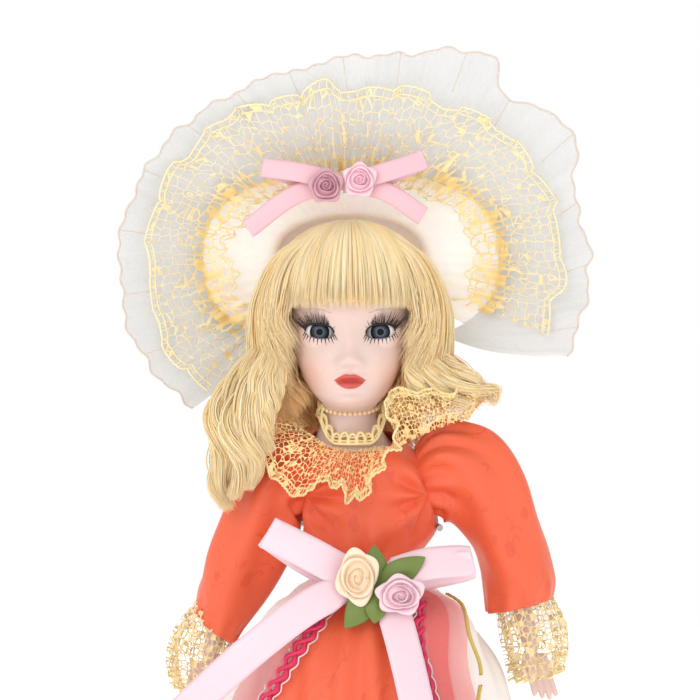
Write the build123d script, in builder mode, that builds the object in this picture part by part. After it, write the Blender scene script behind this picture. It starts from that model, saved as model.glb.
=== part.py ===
"""A porcelain doll with a gold-lace bonnet, held on a waist-clip stand.

Millimetres. +Z is up, the doll faces -Y, and the origin is the centre of the
underside of the stand's base. Every physical piece is one solid in one file.
"""
import os
from math import cos, radians, sin

from build123d import *

os.makedirs("parts", exist_ok=True)

# ---- driving dimensions ----
BASE_R, BASE_T = 52.0, 5.0                 # stand base disc
POST_Y = 17.6                              # post runs up behind the legs
TUBE_R, TUBE_TOP = 3.2, 150.0
ROD_R, ROD_BOTTOM, ROD_TOP = 2.0, 64.0, 257.0
HEAD_X, HEAD_WALL = -5.0, 2.4              # the head leans a little to one side
EYE_DX, EYE_Z, EYE_Y, EYE_R = 9.15, 305.8, -13.5, 6.0
HIP_X, HIP_Z, SOLE_Z, KNEE_Z = 14.0, 190.0, 9.0, 98.0
RIBBON_W, RIBBON_T = 10.0, 0.5
BONNET_X, BONNET_Z = -4.7, 329.0

# skirt bell: radius and height of the innermost layer's inner face
BELL = [(15.4, 231.0), (24.0, 222.0), (33.0, 210.0), (40.5, 195.0), (51.5, 170.0),
        (65.0, 130.0), (75.0, 90.0), (81.0, 55.0), (83.0, 38.0)]

# head outline: height, centre y, half width, half depth
HEAD = [(283.5, -6.0, 8.0, 9.0), (288.0, -4.0, 13.5, 15.5), (295.0, -2.0, 17.2, 19.0),
        (304.0, -1.0, 19.6, 21.4), (314.0, 0.0, 20.5, 22.5), (324.0, 1.0, 19.5, 21.5),
        (334.0, 2.0, 13.6, 15.0)]
HAIR = [(270.0, 6.0, 23.0, 17.0), (288.0, 3.0, 25.5, 23.0), (300.0, 1.0, 26.5, 26.0),
        (314.0, 0.5, 26.8, 27.0), (326.0, 1.0, 24.5, 25.5), (335.0, 2.0, 18.0, 19.5),
        (341.0, 2.0, 8.0, 9.0)]
BODICE = [(229.8, 0.0, 14.6, 11.8), (236.0, 0.0, 17.0, 13.0), (245.0, 0.0, 19.8, 14.0),
          (256.0, 0.0, 21.2, 14.2), (265.0, 0.0, 21.2, 13.4), (273.0, 0.0, 13.4, 10.6)]


def oval(place, rx, ry):
    """Closed smooth oval on a plane."""
    points = [(rx * cos(radians(a)), ry * sin(radians(a))) for a in range(0, 360, 30)]
    with BuildSketch(place, mode=Mode.PRIVATE) as drawn:
        with BuildLine():
            Spline(*points, periodic=True)
        make_face()
    return drawn.sketch


def stack(sections, x=0.0, grow=0.0, mode=Mode.ADD, ruled=False):
    """Loft ovals (z, y, rx, ry) stacked upwards into one solid."""
    loft([oval(Plane((x, y, z)), rx + grow, ry + grow) for z, y, rx, ry in sections],
         ruled=ruled, mode=mode)


def limb(stations, grow=0.0, mode=Mode.ADD):
    """Loft ovals across a limb: (x, z, tilt from straight down, half x, half y)."""
    sections = []
    for x, z, tilt, half_x, half_y in stations:
        t = radians(tilt)
        place = Plane((x, 0.0, z), x_dir=(cos(t), 0.0, sin(t)), z_dir=(sin(t), 0.0, -cos(t)))
        sections.append(oval(place, half_x + grow, half_y + grow))
    loft(sections, mode=mode)


def bell(inner, outer, start, arc):
    """Sector of a skirt layer between two offsets from the bell line."""
    a = radians(start)
    radial = Plane((0, 0, 0), x_dir=(cos(a), sin(a), 0), z_dir=(sin(a), -cos(a), 0))
    with BuildSketch(radial, mode=Mode.PRIVATE) as profile:
        with BuildLine():
            near = Spline(*[(r + inner, z) for r, z in BELL])
            far = Spline(*[(r + outer, z) for r, z in BELL])
            Line(near @ 0, far @ 0)
            Line(near @ 1, far @ 1)
        make_face()
    revolve(profile.sketch, axis=Axis.Z, revolution_arc=arc)


def placket():
    """Back opening of the skirt's waist, where the stand's rod comes out."""
    with Locations((0, 30, 225)):
        Box(6.4, 44, 44, mode=Mode.SUBTRACT)


def facing(sections, grow=0.0, mode=Mode.ADD):
    """Loft ovals (y, x, z, half x, half z) that stand upright, along the Y axis."""
    planes = [Plane((x, y, z), x_dir=(1, 0, 0), z_dir=(0, -1, 0)) for y, x, z, _, _ in sections]
    loft([oval(place, half_x + grow, half_z + grow)
          for place, (_, _, _, half_x, half_z) in zip(planes, sections)], mode=mode)


def nape_gap(left, right):
    """Wedge below the bonnet's middle, between two angles, left open at the nape."""
    reach = 150.0
    upright = Plane((BONNET_X, -40, BONNET_Z), x_dir=(1, 0, 0), z_dir=(0, -1, 0))
    with BuildSketch(upright, mode=Mode.PRIVATE) as wedge:
        with BuildLine():
            Polyline((0, 0), (reach * cos(radians(left)), reach * sin(radians(left))),
                     (-40, -reach), (120, -reach),
                     (reach * cos(radians(right)), reach * sin(radians(right))), close=True)
        make_face()
    extrude(wedge.sketch, amount=-140, mode=Mode.SUBTRACT)


def strip(start, end, width, thick=RIBBON_T, mode=Mode.ADD):
    """Flat ribbon strip between two points, its width lying in the XZ plane."""
    a, b = Vector(*start), Vector(*end)
    along = (b - a).normalized()
    across = along.cross(Vector(0, 1, 0)).normalized()
    with BuildSketch(Plane(a, x_dir=across, z_dir=along), mode=Mode.PRIVATE) as end_face:
        Rectangle(width, thick)
    extrude(end_face.sketch, amount=(b - a).length, mode=mode)


def ribbon_loop(start, end, width, height):
    """Ribbon loop lying flat, pulled out from start to end."""
    a, b = Vector(*start), Vector(*end)
    along = (b - a).normalized()
    across = along.cross(Vector(0, 1, 0)).normalized()
    middle = (a + b) * 0.5 - across * (width / 2)
    length = (b - a).length
    with BuildSketch(Plane(middle, x_dir=along, z_dir=across), mode=Mode.PRIVATE) as outline:
        SlotOverall(length, height)
        SlotOverall(length - 2 * RIBBON_T, height - 2 * RIBBON_T, mode=Mode.SUBTRACT)
    extrude(outline.sketch, amount=width)


def rosebud(center, radius, depth):
    """Rolled ribbon rose, seen from the front: a cup with rounded petals."""
    x, y, z = center
    with BuildSketch(Plane((x, y, z)), mode=Mode.PRIVATE) as half:
        with BuildLine():
            Polyline((0, 0), (radius * 0.7, 0), (radius, -depth * 0.55),
                     (radius * 0.75, -depth), (radius * 0.4, -depth * 0.8),
                     (0, -depth * 0.95), close=True)
        make_face()
    revolve(half.sketch, axis=Axis((x, y, z), (0, 1, 0)))


def save(piece, name):
    piece.label = name
    export_step(piece, f"parts/{name}.step")


# ---- stand ----
with BuildPart() as stand_base:
    Cylinder(BASE_R, BASE_T, align=(Align.CENTER, Align.CENTER, Align.MIN))
    fillet(stand_base.edges().group_by(Axis.Z)[-1], 2.0)
    with Locations((0, POST_Y, BASE_T)):
        Cylinder(6.0, 6.0, align=(Align.CENTER, Align.CENTER, Align.MIN))
    with Locations((0, POST_Y, 2.0)):
        Cylinder(TUBE_R + 0.05, 12.0, align=(Align.CENTER, Align.CENTER, Align.MIN),
                 mode=Mode.SUBTRACT)
save(stand_base.part, "stand_base")

with BuildPart() as stand_tube:
    with BuildSketch(Plane((0, POST_Y, 2.05))):
        Circle(TUBE_R)
        Circle(ROD_R + 0.08, mode=Mode.SUBTRACT)
    extrude(amount=TUBE_TOP - 2.05)
save(stand_tube.part, "stand_tube")

with BuildPart() as stand_rod:
    with BuildSketch(Plane((0, POST_Y, ROD_BOTTOM))):
        Circle(ROD_R)
    extrude(amount=ROD_TOP - ROD_BOTTOM)
    fillet(stand_rod.edges(), 0.6)
save(stand_rod.part, "stand_rod")

with BuildPart() as waist_clip:
    with BuildSketch(Plane((0, POST_Y, 243.5))):
        Circle(2.8)
        Circle(ROD_R + 0.03, mode=Mode.SUBTRACT)
    extrude(amount=12.5)
    for level in (245.5, 254.0):
        for side in (1, -1):
            with BuildLine():
                arm = Spline((side * 2.6, POST_Y + 0.4, level), (side * 12.0, 16.4, level),
                             (side * 20.4, 9.5, level), (side * 22.9, 1.0, level),
                             (side * 22.6, -5.0, level))
            with BuildSketch(Plane(arm @ 0, z_dir=arm % 0)):
                Circle(0.85)
            sweep()
    for side in (1, -1):
        with Locations((side * 22.6, -5.0, 244.7)):
            Cylinder(0.85, 10.1, align=(Align.CENTER, Align.CENTER, Align.MIN))
save(waist_clip.part, "waist_clip")

# ---- cloth body ----
with BuildPart() as torso:
    stack([(192.0, -1.0, 17.0, 10.6), (206.0, -1.0, 19.5, 11.5), (222.0, -0.5, 14.6, 10.6),
           (232.0, 0.0, 12.6, 9.6), (244.0, 0.0, 14.6, 9.8), (251.6, 0.0, 13.2, 8.6)])
    with Locations((HIP_X, 0, HIP_Z), (-HIP_X, 0, HIP_Z)):
        Sphere(9.0, mode=Mode.SUBTRACT)
save(torso.part, "torso")

# ---- porcelain head with its shoulder plate ----
SHOULDER = [(252.0, 0.0, 16.8, 11.8), (258.0, 0.0, 17.2, 12.0), (264.0, 0.0, 14.4, 10.4),
            (269.0, 0.2, 9.4, 8.2), (273.0, 0.4, 7.3, 7.3), (280.0, 0.6, 7.0, 7.0),
            (290.0, 0.8, 7.0, 7.0)]


def shoulders(sections, grow=0.0, mode=Mode.ADD):
    """Loft the shoulder plate and neck, whose axis leans over to the head's."""
    loft([oval(Plane((HEAD_X * min(1.0, (z - 248) / 24), y, z)), rx + grow, ry + grow)
          for z, y, rx, ry in sections], mode=mode)


with BuildPart() as head:
    shoulders(SHOULDER)
    stack(HEAD, x=HEAD_X)
    with Locations((HEAD_X, -22.0, 301.0)):
        Sphere(2.6)
    stack([(z, y, rx - HEAD_WALL, ry - HEAD_WALL) for z, y, rx, ry in HEAD[1:]], x=HEAD_X,
          mode=Mode.SUBTRACT)
    with Locations((HEAD_X, 2.0, 333.0)):
        Cylinder(11.0, 6.0, mode=Mode.SUBTRACT)
    shoulders([(250.0, 0.0, 16.6, 11.6)] + SHOULDER[1:], grow=-1.8, mode=Mode.SUBTRACT)
    with Locations((HEAD_X - EYE_DX, EYE_Y, EYE_Z), (HEAD_X + EYE_DX, EYE_Y, EYE_Z)):
        Sphere(EYE_R + 0.1, mode=Mode.SUBTRACT)
    for side in (-1, 1):
        front = Plane((HEAD_X + side * EYE_DX, -26.0, EYE_Z), x_dir=(1, 0, 0), z_dir=(0, -1, 0))
        extrude(oval(front, 4.2, 2.3), amount=-14, mode=Mode.SUBTRACT)
save(head.part, "head")

for label, side in (("eye_left", 1), ("eye_right", -1)):
    with BuildPart() as eye:
        with Locations((HEAD_X + side * EYE_DX, EYE_Y, EYE_Z)):
            Sphere(EYE_R)
    save(eye.part, label)

for label, side in (("eye_setting_left", 1), ("eye_setting_right", -1)):
    with BuildPart() as setting:
        with Locations((HEAD_X + side * EYE_DX, EYE_Y + 5.0, EYE_Z)):
            Cylinder(5.0, 8.0, rotation=(90, 0, 0))
        with Locations((HEAD_X + side * EYE_DX, EYE_Y, EYE_Z)):
            Sphere(EYE_R + 0.1, mode=Mode.SUBTRACT)
    save(setting.part, label)

for label, side in (("lash_left", 1), ("lash_right", -1)):
    with BuildPart() as lash:
        with BuildSketch(Plane((HEAD_X + side * EYE_DX, -23.0, EYE_Z - 1.5), x_dir=(1, 0, 0),
                               z_dir=(0, -1, 0))):
            with BuildLine():
                low = CenterArc((0, 0), 5.0, 25, 130)
                high = CenterArc((0, 0), 8.4, 25, 130)
                Line(low @ 0, high @ 0)
                Line(low @ 1, high @ 1)
            make_face()
        extrude(amount=0.3)
    save(lash.part, label)

with BuildPart() as pate:
    stack([(334.2, 2.0, 13.2, 14.6), (336.6, 2.0, 9.0, 10.2), (338.4, 2.0, 3.0, 3.4)], x=HEAD_X)
save(pate.part, "pate")


# ---- wig ----
def hair_shell(low, high):
    """Ring of hair between two heights, fitted over the head and the pate."""
    stack(HAIR, x=HEAD_X)
    with Locations((HEAD_X, 0, low - 100)):
        Box(120, 120, 200, mode=Mode.SUBTRACT)
    with Locations((HEAD_X, 0, high + 100)):
        Box(120, 120, 200, mode=Mode.SUBTRACT)
    stack(HEAD[:-1] + [(334.6, 2.0, 14.6, 16.0)], x=HEAD_X, grow=0.5, mode=Mode.SUBTRACT)
    stack([(334.0, 2.0, 14.4, 15.8), (337.4, 2.0, 9.4, 10.6), (339.0, 2.0, 3.4, 3.8)], x=HEAD_X,
          mode=Mode.SUBTRACT)


with BuildPart() as hair_crown:
    hair_shell(321.0, 345.0)
save(hair_crown.part, "hair_crown")

with BuildPart() as hair_fringe:
    hair_shell(314.2, 320.8)
    with Locations((HEAD_X, 30.0, 317.0)):
        Box(120, 80, 30, mode=Mode.SUBTRACT)
save(hair_fringe.part, "hair_fringe")

for label, side in (("hair_side_left", 1), ("hair_side_right", -1)):
    with BuildPart() as hair_side:
        hair_shell(292.0, 320.8)
        with Locations((HEAD_X - side * 42.4, 0, 300)):
            Box(120, 120, 90, mode=Mode.SUBTRACT)
        with Locations((HEAD_X, -60.0, 317.5)):
            Box(120, 100, 7.0, mode=Mode.SUBTRACT)
        with Locations((HEAD_X, 63.0, 300)):
            Box(120, 120, 90, mode=Mode.SUBTRACT)
    save(hair_side.part, label)

with BuildPart() as hair_back:
    hair_shell(281.0, 320.8)
    with Locations((HEAD_X, -51.2, 300)):
        Box(120, 120, 90, mode=Mode.SUBTRACT)
save(hair_back.part, "hair_back")

CURLS = {
    "ringlets_right": [(-39.0, -20.0, 256.0, 297.0, 6.2), (-30.5, -20.2, 253.0, 301.0, 6.0)],
    "ringlets_left": [(23.0, -19.0, 279.4, 303.0, 6.0), (31.5, -18.0, 280.4, 299.0, 5.4)],
}
for label, curls in CURLS.items():
    with BuildPart() as ringlets:
        for x, y, low, high, radius in curls:
            stack([(low, y, radius * 0.45, radius * 0.45), (low + 5, y, radius, radius),
                   (high - 8, y, radius, radius), (high, y, radius * 0.6, radius * 0.6)], x=x)
    save(ringlets.part, label)

# ---- arms: cloth above, porcelain forearm and hand below, in a lace cuff and a sleeve ----
ARMS = {
    "left": dict(upper=[(26.2, 259.0, 90, 5.4, 5.4), (36.0, 250.0, 36, 5.2, 5.2),
                        (44.0, 234.5, 22, 4.6, 4.6)],
                 fore=[(44.3, 233.8, 20, 4.2, 4.2), (48.5, 222.0, 18, 4.0, 4.0),
                       (52.6, 208.0, 14, 2.9, 2.7), (54.6, 199.5, 12, 4.2, 2.4),
                       (56.4, 190.5, 10, 3.8, 1.9), (57.8, 184.0, 8, 2.2, 1.3)],
                 sleeve=[(24.8, 260.0, 90, 14.8, 10.4), (35.0, 257.0, 58, 15.0, 11.6),
                         (43.0, 245.0, 26, 12.2, 12.0), (47.0, 233.0, 14, 10.6, 11.6),
                         (48.6, 223.6, 8, 9.6, 10.6)],
                 cuff=[(49.0, 222.6, 12, 6.4, 7.0), (51.6, 211.0, 12, 8.2, 8.4),
                       (53.2, 201.5, 12, 8.0, 8.6)]),
    "right": dict(upper=[(-26.2, 258.0, -90, 5.4, 5.4), (-33.0, 249.0, -34, 5.2, 5.2),
                         (-39.0, 232.5, -20, 4.6, 4.6)],
                  fore=[(-39.3, 231.8, -20, 4.2, 4.2), (-44.0, 219.0, -20, 4.0, 4.0),
                        (-49.0, 206.0, -18, 2.9, 2.7), (-51.8, 197.5, -16, 4.2, 2.4),
                        (-54.0, 188.5, -12, 3.8, 1.9), (-55.4, 182.0, -10, 2.2, 1.3)],
                  sleeve=[(-24.8, 259.0, -90, 14.2, 10.4), (-33.0, 255.0, -58, 13.6, 11.4),
                          (-37.4, 243.0, -30, 11.4, 11.6), (-40.2, 231.0, -26, 10.8, 11.2),
                          (-41.8, 222.0, -28, 10.0, 10.4)],
                  cuff=[(-44.0, 220.4, -24, 6.2, 6.8), (-48.0, 209.0, -20, 7.6, 8.2),
                        (-51.0, 199.5, -18, 7.4, 8.2)]),
}
for side, arm_data in ARMS.items():
    with BuildPart() as upper_arm:
        limb(arm_data["upper"])
    save(upper_arm.part, f"upper_arm_{side}")

    with BuildPart() as forearm:
        limb(arm_data["fore"])
        hand_x, hand_z, hand_tilt = arm_data["fore"][3][:3]
        thumb = (hand_x - (3.0 if side == "left" else -3.0), -1.6, hand_z + 1.0)
        with Locations(Location(thumb, (20, 0, 0))):
            Cylinder(1.2, 8.0)
    save(forearm.part, f"forearm_{side}")

    with BuildPart() as sleeve:
        limb(arm_data["sleeve"])
        inner = [(x, z, t, hx - 0.9, hy - 0.9) for x, z, t, hx, hy in arm_data["sleeve"]]
        x0, z0, t0, hx0, hy0 = inner[-1]
        past = (x0 + 2 * sin(radians(t0)), z0 - 2 * cos(radians(t0)), t0, hx0, hy0)
        x1, z1, t1, hx1, hy1 = inner[0]
        limb([(x1 * 1.035, z1, t1, hx1, hy1)] + inner[1:] + [past], mode=Mode.SUBTRACT)
    save(sleeve.part, f"sleeve_{side}")

    with BuildPart() as cuff:
        limb(arm_data["cuff"])
        inside = [(x, z, t, hx - 0.6, hy - 0.6) for x, z, t, hx, hy in arm_data["cuff"]]
        first, last = inside[0], inside[-1]
        above = (first[0] - sin(radians(first[2])), first[1] + cos(radians(first[2])), *first[2:])
        below = (last[0] + sin(radians(last[2])), last[1] - cos(radians(last[2])), *last[2:])
        limb([above] + inside + [below], mode=Mode.SUBTRACT)
    save(cuff.part, f"cuff_{side}")

# ---- legs: cloth thigh, porcelain lower leg, shoe ----
for label, side in (("left", 1), ("right", -1)):
    x = side * HIP_X
    with BuildPart() as thigh:
        with Locations((x, 0, KNEE_Z)):
            Cone(7.4, 8.5, HIP_Z - KNEE_Z, align=(Align.CENTER, Align.CENTER, Align.MIN))
        with Locations((x, 0, HIP_Z)):
            Sphere(8.5)
    save(thigh.part, f"thigh_{label}")

    with BuildPart() as lower_leg:
        stack([(16.0, 0.5, 4.6, 5.2), (26.0, 0.5, 4.0, 4.4), (50.0, 1.0, 6.4, 7.0),
               (66.0, 1.0, 7.0, 7.6), (88.0, 0.0, 6.2, 6.4), (KNEE_Z - 0.2, 0.0, 7.0, 7.0)], x=x)
        with BuildSketch(Plane((x, -7.0, 11.2))):
            SlotOverall(27.0, 9.2, rotation=90)
        extrude(amount=6.0)
        fillet(lower_leg.edges().group_by(Axis.Z)[0], 1.5)
    save(lower_leg.part, f"lower_leg_{label}")

    with BuildPart() as shoe:
        with BuildSketch(Plane((x, -7.2, SOLE_Z))):
            SlotOverall(32.0, 13.0, rotation=90)
        extrude(amount=11.0)
        fillet(shoe.edges().group_by(Axis.Z)[-1], 2.5)
        with BuildSketch(Plane((x, -7.0, 11.0))):
            SlotOverall(27.6, 9.8, rotation=90)
        extrude(amount=6.5, mode=Mode.SUBTRACT)
        with BuildSketch(Plane((x, -3.0, 12.0))):
            SlotOverall(17.0, 11.0, rotation=90)
        extrude(amount=12.0, mode=Mode.SUBTRACT)
    save(shoe.part, f"shoe_{label}")

# ---- dress ----
with BuildPart() as bodice:
    stack(BODICE)
    stack([(228.0, 0.0, 13.2, 10.4)] + BODICE[1:-1] + [(274.0, 0.0, 12.2, 9.4)], grow=-0.8,
          mode=Mode.SUBTRACT)
save(bodice.part, "bodice")

with BuildPart() as petticoat:
    bell(0.0, 0.8, 0, 360)
    placket()
save(petticoat.part, "petticoat")

with BuildPart() as overskirt:
    bell(1.2, 1.9, 0, 360)
    placket()
save(overskirt.part, "overskirt")

with BuildPart() as front_panel:
    bell(2.3, 3.1, -128, 65)
save(front_panel.part, "front_panel")

for label, start, arc in (("sheer_panel_right", -158, 29.4), ("sheer_panel_left", -62.4, 34.4)):
    with BuildPart() as sheer_panel:
        bell(2.3, 2.7, start, arc)
    save(sheer_panel.part, label)

for label, azimuth in (("braid_right", -128), ("braid_left", -63)):
    with BuildPart() as braid:
        bell(3.4, 4.6, azimuth - 14, 28)
        a = radians(azimuth)
        with Locations(Location((50 * cos(a), 50 * sin(a), 130), (0, 0, azimuth))):
            Box(90, 5.4, 220, mode=Mode.INTERSECT)
    save(braid.part, label)

CORDS = {
    "gold_cord_upper": [(-37, 225.0, 0.2), (-33, 210.0, 0.2)],
    "gold_cord_lower": [(-42, 200.0, 0.2), (-47, 186.0, 0.2)],
}


def bell_radius(z):
    """Radius of the bell line at a height, by straight interpolation."""
    for (r0, z0), (r1, z1) in zip(BELL, BELL[1:]):
        if z1 <= z <= z0:
            return r0 + (r1 - r0) * (z0 - z) / (z0 - z1)
    return BELL[-1][0]


for label, ends in CORDS.items():
    points = []
    for azimuth, z, _ in ends:
        radius = bell_radius(z) + 4.4
        points.append((radius * cos(radians(azimuth)), radius * sin(radians(azimuth)), z))
    middle = [(p + q) / 2 for p, q in zip(*points)]
    middle[0], middle[1] = middle[0] * 1.03, middle[1] * 1.03
    with BuildPart() as cord:
        with BuildLine():
            path = Spline(points[0], tuple(middle), points[1])
        with BuildSketch(Plane(path @ 0, z_dir=path % 0)):
            Circle(0.9)
        sweep()
    save(cord.part, label)

COLLAR = [(257.0, 0.0, 23.2, 20.4), (266.0, 0.0, 23.2, 17.0), (271.0, 0.0, 18.4, 14.4),
          (276.4, 0.0, 14.2, 11.6)]
with BuildPart() as collar:
    stack(COLLAR, grow=0.6, ruled=True)
    stack([(256.0, 0.0, 23.2, 20.8)] + COLLAR[1:-1] + [(277.0, 0.0, 13.6, 11.3)],
          mode=Mode.SUBTRACT, ruled=True)
save(collar.part, "collar_lace")

with BuildPart() as neckline:
    with BuildSketch(Plane((HEAD_X, 0.4, 273.6))):
        Circle(8.4)
        Circle(7.9, mode=Mode.SUBTRACT)
    extrude(amount=4.2)
save(neckline.part, "neckline_lace")

with BuildPart() as necklace:
    with Locations((HEAD_X, 0.6, 279.4)):
        Torus(8.6, 0.3)
        with PolarLocations(8.6, 36):
            Sphere(0.74)
save(necklace.part, "necklace")

# ---- waist bow ----
with BuildPart() as waist_bow:
    ribbon_loop((-2.0, -26.0, 233.0), (-28.5, -23.0, 247.0), RIBBON_W, 5.0)
    ribbon_loop((4.0, -26.0, 233.0), (31.0, -24.0, 236.5), RIBBON_W, 5.0)
    with Locations((0.5, -26.4, 233.0)):
        Box(9.0, 5.4, 9.0)
    strip((-2.0, -28.4, 231.0), (-59.0, -33.0, 198.0), RIBBON_W)
    strip((3.0, -28.4, 231.0), (17.5, -47.8, 196.0), RIBBON_W)
save(waist_bow.part, "waist_bow")

with BuildPart() as rose_cream:
    rosebud((-2.6, -30.2, 234.4), 7.2, 7.5)
save(rose_cream.part, "rose_cream")

with BuildPart() as rose_pink:
    rosebud((11.6, -34.6, 229.0), 7.0, 7.0)
save(rose_pink.part, "rose_pink")

with BuildPart() as leaves:
    for x, z in ((-10.0, 223.0), (-4.6, 219.6), (13.0, 241.0), (-1.0, 245.0)):
        strip((2.5, -31.6, 231.5), (x, -31.6, z), 4.2)
    with Locations((-2.6, -31.6, 234.4)):
        Cylinder(7.6, 6.0, rotation=(90, 0, 0), mode=Mode.SUBTRACT)
save(leaves.part, "leaves")

# ---- bonnet ----
RING_IN = (8.0, BONNET_X, BONNET_Z, 46.5, 27.0)
RING_OUT = (-4.0, BONNET_X + 1.5, BONNET_Z - 1.5, 71.0, 64.5)
CROWN = [(8.2, BONNET_X, BONNET_Z, 45.6, 26.4), (20.0, BONNET_X, BONNET_Z, 42.0, 25.6),
         (36.0, BONNET_X, BONNET_Z, 33.0, 21.0), (46.0, BONNET_X, BONNET_Z, 16.0, 11.0)]


def along_brim(share, forward):
    """Oval across the brim, at a share of the way from the inner to the outer edge."""
    mixed = [a + (b - a) * share for a, b in zip(RING_IN, RING_OUT)]
    return (mixed[0] - forward, *mixed[1:])


def brim_shell(first, last, forward, thick):
    """Thin flared shell following the brim, left open at the nape."""
    facing([along_brim(first, forward), along_brim(last, forward)])
    back = [along_brim(first - 0.3, forward + thick), along_brim(last + 0.3, forward + thick)]
    facing(back, mode=Mode.SUBTRACT)
    nape_gap(222, 336)


with BuildPart() as bonnet_brim:
    brim_shell(0.0, 1.0, 0.0, 1.0)
save(bonnet_brim.part, "bonnet_brim")

with BuildPart() as bonnet_lace:
    brim_shell(0.02, 0.68, 2.4, 0.9)
save(bonnet_lace.part, "bonnet_lace")

with BuildPart() as bonnet_crown:
    facing(CROWN)
    hollow = [(y, x, z, hx - 1.2, hz - 1.2) for y, x, z, hx, hz in CROWN[1:-1]]
    mouth = (6.0, BONNET_X, BONNET_Z, 44.8, 25.4)
    facing([mouth] + hollow + [(44.4, BONNET_X, BONNET_Z, 14.0, 9.0)], mode=Mode.SUBTRACT)
    nape_gap(214, 326)
save(bonnet_crown.part, "bonnet_crown")

with BuildPart() as bonnet_bow:
    ribbon_loop((-9.0, -4.5, 351.0), (-31.0, -4.0, 359.0), 6.0, 4.0)
    ribbon_loop((-4.0, -4.5, 352.0), (18.0, -4.0, 359.5), 6.0, 4.0)
    with Locations((-7.0, -4.4, 352.0)):
        Box(6.0, 4.4, 6.0)
    strip((-8.0, -6.4, 350.5), (-36.0, -6.0, 338.0), 6.0)
    strip((-6.0, -6.4, 352.0), (17.0, -6.0, 343.5), 6.0)
save(bonnet_bow.part, "bonnet_bow")

with BuildPart() as rose_mauve:
    rosebud((-12.2, -7.2, 350.5), 5.6, 6.0)
save(rose_mauve.part, "rose_mauve")

with BuildPart() as rose_blush:
    rosebud((-0.8, -7.2, 352.5), 5.6, 6.0)
save(rose_blush.part, "rose_blush")
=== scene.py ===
import bpy
import bmesh
from math import cos, pi, radians, sin, sqrt
import numpy as np
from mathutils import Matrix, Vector


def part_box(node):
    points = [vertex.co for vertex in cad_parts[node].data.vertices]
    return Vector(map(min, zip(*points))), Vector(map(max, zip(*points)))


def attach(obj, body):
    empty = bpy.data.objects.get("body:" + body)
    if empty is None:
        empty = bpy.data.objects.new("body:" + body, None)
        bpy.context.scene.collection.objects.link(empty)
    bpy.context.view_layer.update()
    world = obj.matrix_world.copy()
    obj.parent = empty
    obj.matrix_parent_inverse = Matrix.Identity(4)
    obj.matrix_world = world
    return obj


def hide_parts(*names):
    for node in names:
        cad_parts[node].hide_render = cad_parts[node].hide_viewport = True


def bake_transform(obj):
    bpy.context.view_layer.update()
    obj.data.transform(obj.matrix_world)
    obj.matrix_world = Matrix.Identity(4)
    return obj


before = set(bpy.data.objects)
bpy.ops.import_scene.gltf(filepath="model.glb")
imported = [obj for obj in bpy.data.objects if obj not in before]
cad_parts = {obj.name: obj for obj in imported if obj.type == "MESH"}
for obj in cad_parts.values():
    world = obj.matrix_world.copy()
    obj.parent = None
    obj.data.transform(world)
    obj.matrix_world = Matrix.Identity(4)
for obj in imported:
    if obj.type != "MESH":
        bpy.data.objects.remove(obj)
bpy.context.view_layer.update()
MM = 0.001
# cut widths of the cloth, in mm
RIBBON_CUT, BRIM_CUT, LACE_CUT, SKIRT_CUT = 10.0, 40.0, 32.0, 200.0
random = np.random.default_rng(11)


# ---------------------------------------------------------------- helpers
def spot(node):
    """Centre of a CAD node's box, in mm."""
    low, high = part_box(node)
    return np.array([(a + b) / 2 / MM for a, b in zip(low, high)])


def smooth(x, knots, values):
    """Smooth curve through knots, without overshoot at its ends."""
    x, knots, values = np.asarray(x, float), np.asarray(knots, float), np.asarray(values, float)
    slope = np.gradient(values, knots)
    k = np.clip(np.searchsorted(knots, x) - 1, 0, len(knots) - 2)
    h = knots[k + 1] - knots[k]
    t = np.clip((x - knots[k]) / h, 0, 1)
    a = (1 + 2 * t) * (1 - t) ** 2 * values[k] + t * (1 - t) ** 2 * h * slope[k]
    return a + t * t * (3 - 2 * t) * values[k + 1] + t * t * (t - 1) * h * slope[k + 1]


def ramp(x, low, high):
    """0 below low, 1 above high, smooth between them."""
    t = np.clip((np.asarray(x, float) - low) / (high - low), 0, 1)
    return t * t * (3 - 2 * t)


def bump(x, y, cx, cy, sx, sy):
    """Round bump of height 1 at (cx, cy)."""
    return np.exp(-(((x - cx) / sx) ** 2) - ((y - cy) / sy) ** 2)


def waves(t, count, seed, rough=0.35):
    """A wavy line of about count waves over t from 0 to 1, uneven like gathered cloth."""
    pick = np.random.default_rng(seed)
    phase = pick.uniform(0, 2 * pi, 4)
    drift = rough * np.sin(2 * pi * t * 1.7 + phase[0]) + rough * np.sin(2 * pi * t * 3.1 + phase[1])
    line = np.sin(2 * pi * count * t + drift * 2.5 + phase[2])
    return line * (1 + rough * np.sin(2 * pi * t * 2.3 + phase[3]))


def curve_points(points, count):
    """Count points on a smooth line through points."""
    points = np.asarray(points, float)
    length = line_length(points)
    at = np.linspace(0, length[-1], count)
    return np.stack([smooth(at, length, points[:, k]) for k in range(points.shape[1])], 1)


def unit(v):
    """Vectors of the same directions, one long."""
    return v / np.maximum(np.linalg.norm(v, axis=-1, keepdims=True), 1e-9)


def line_length(points):
    """Distance along a line of points, at each of them."""
    return np.concatenate([[0], np.cumsum(np.linalg.norm(np.diff(points, axis=0), axis=1))])


def round_axis(r, turn, z):
    """Points this far from the doll's axis. turn is measured from its front."""
    return np.stack(np.broadcast_arrays(r * np.sin(turn), -r * np.cos(turn), z), -1)


def flat_of(points):
    """Flat coordinates of a gathered sheet: u along its columns, v across them, in mm."""
    along = np.linalg.norm(np.diff(points, axis=1), axis=2)
    u = np.concatenate([[0], np.cumsum(along.mean(0))])
    across = np.linalg.norm(np.diff(points, axis=0), axis=2).mean(1)
    v = np.concatenate([[0], np.cumsum(across)])
    return np.stack(np.broadcast_arrays(u[None, :], v[:, None]), -1)


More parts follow.
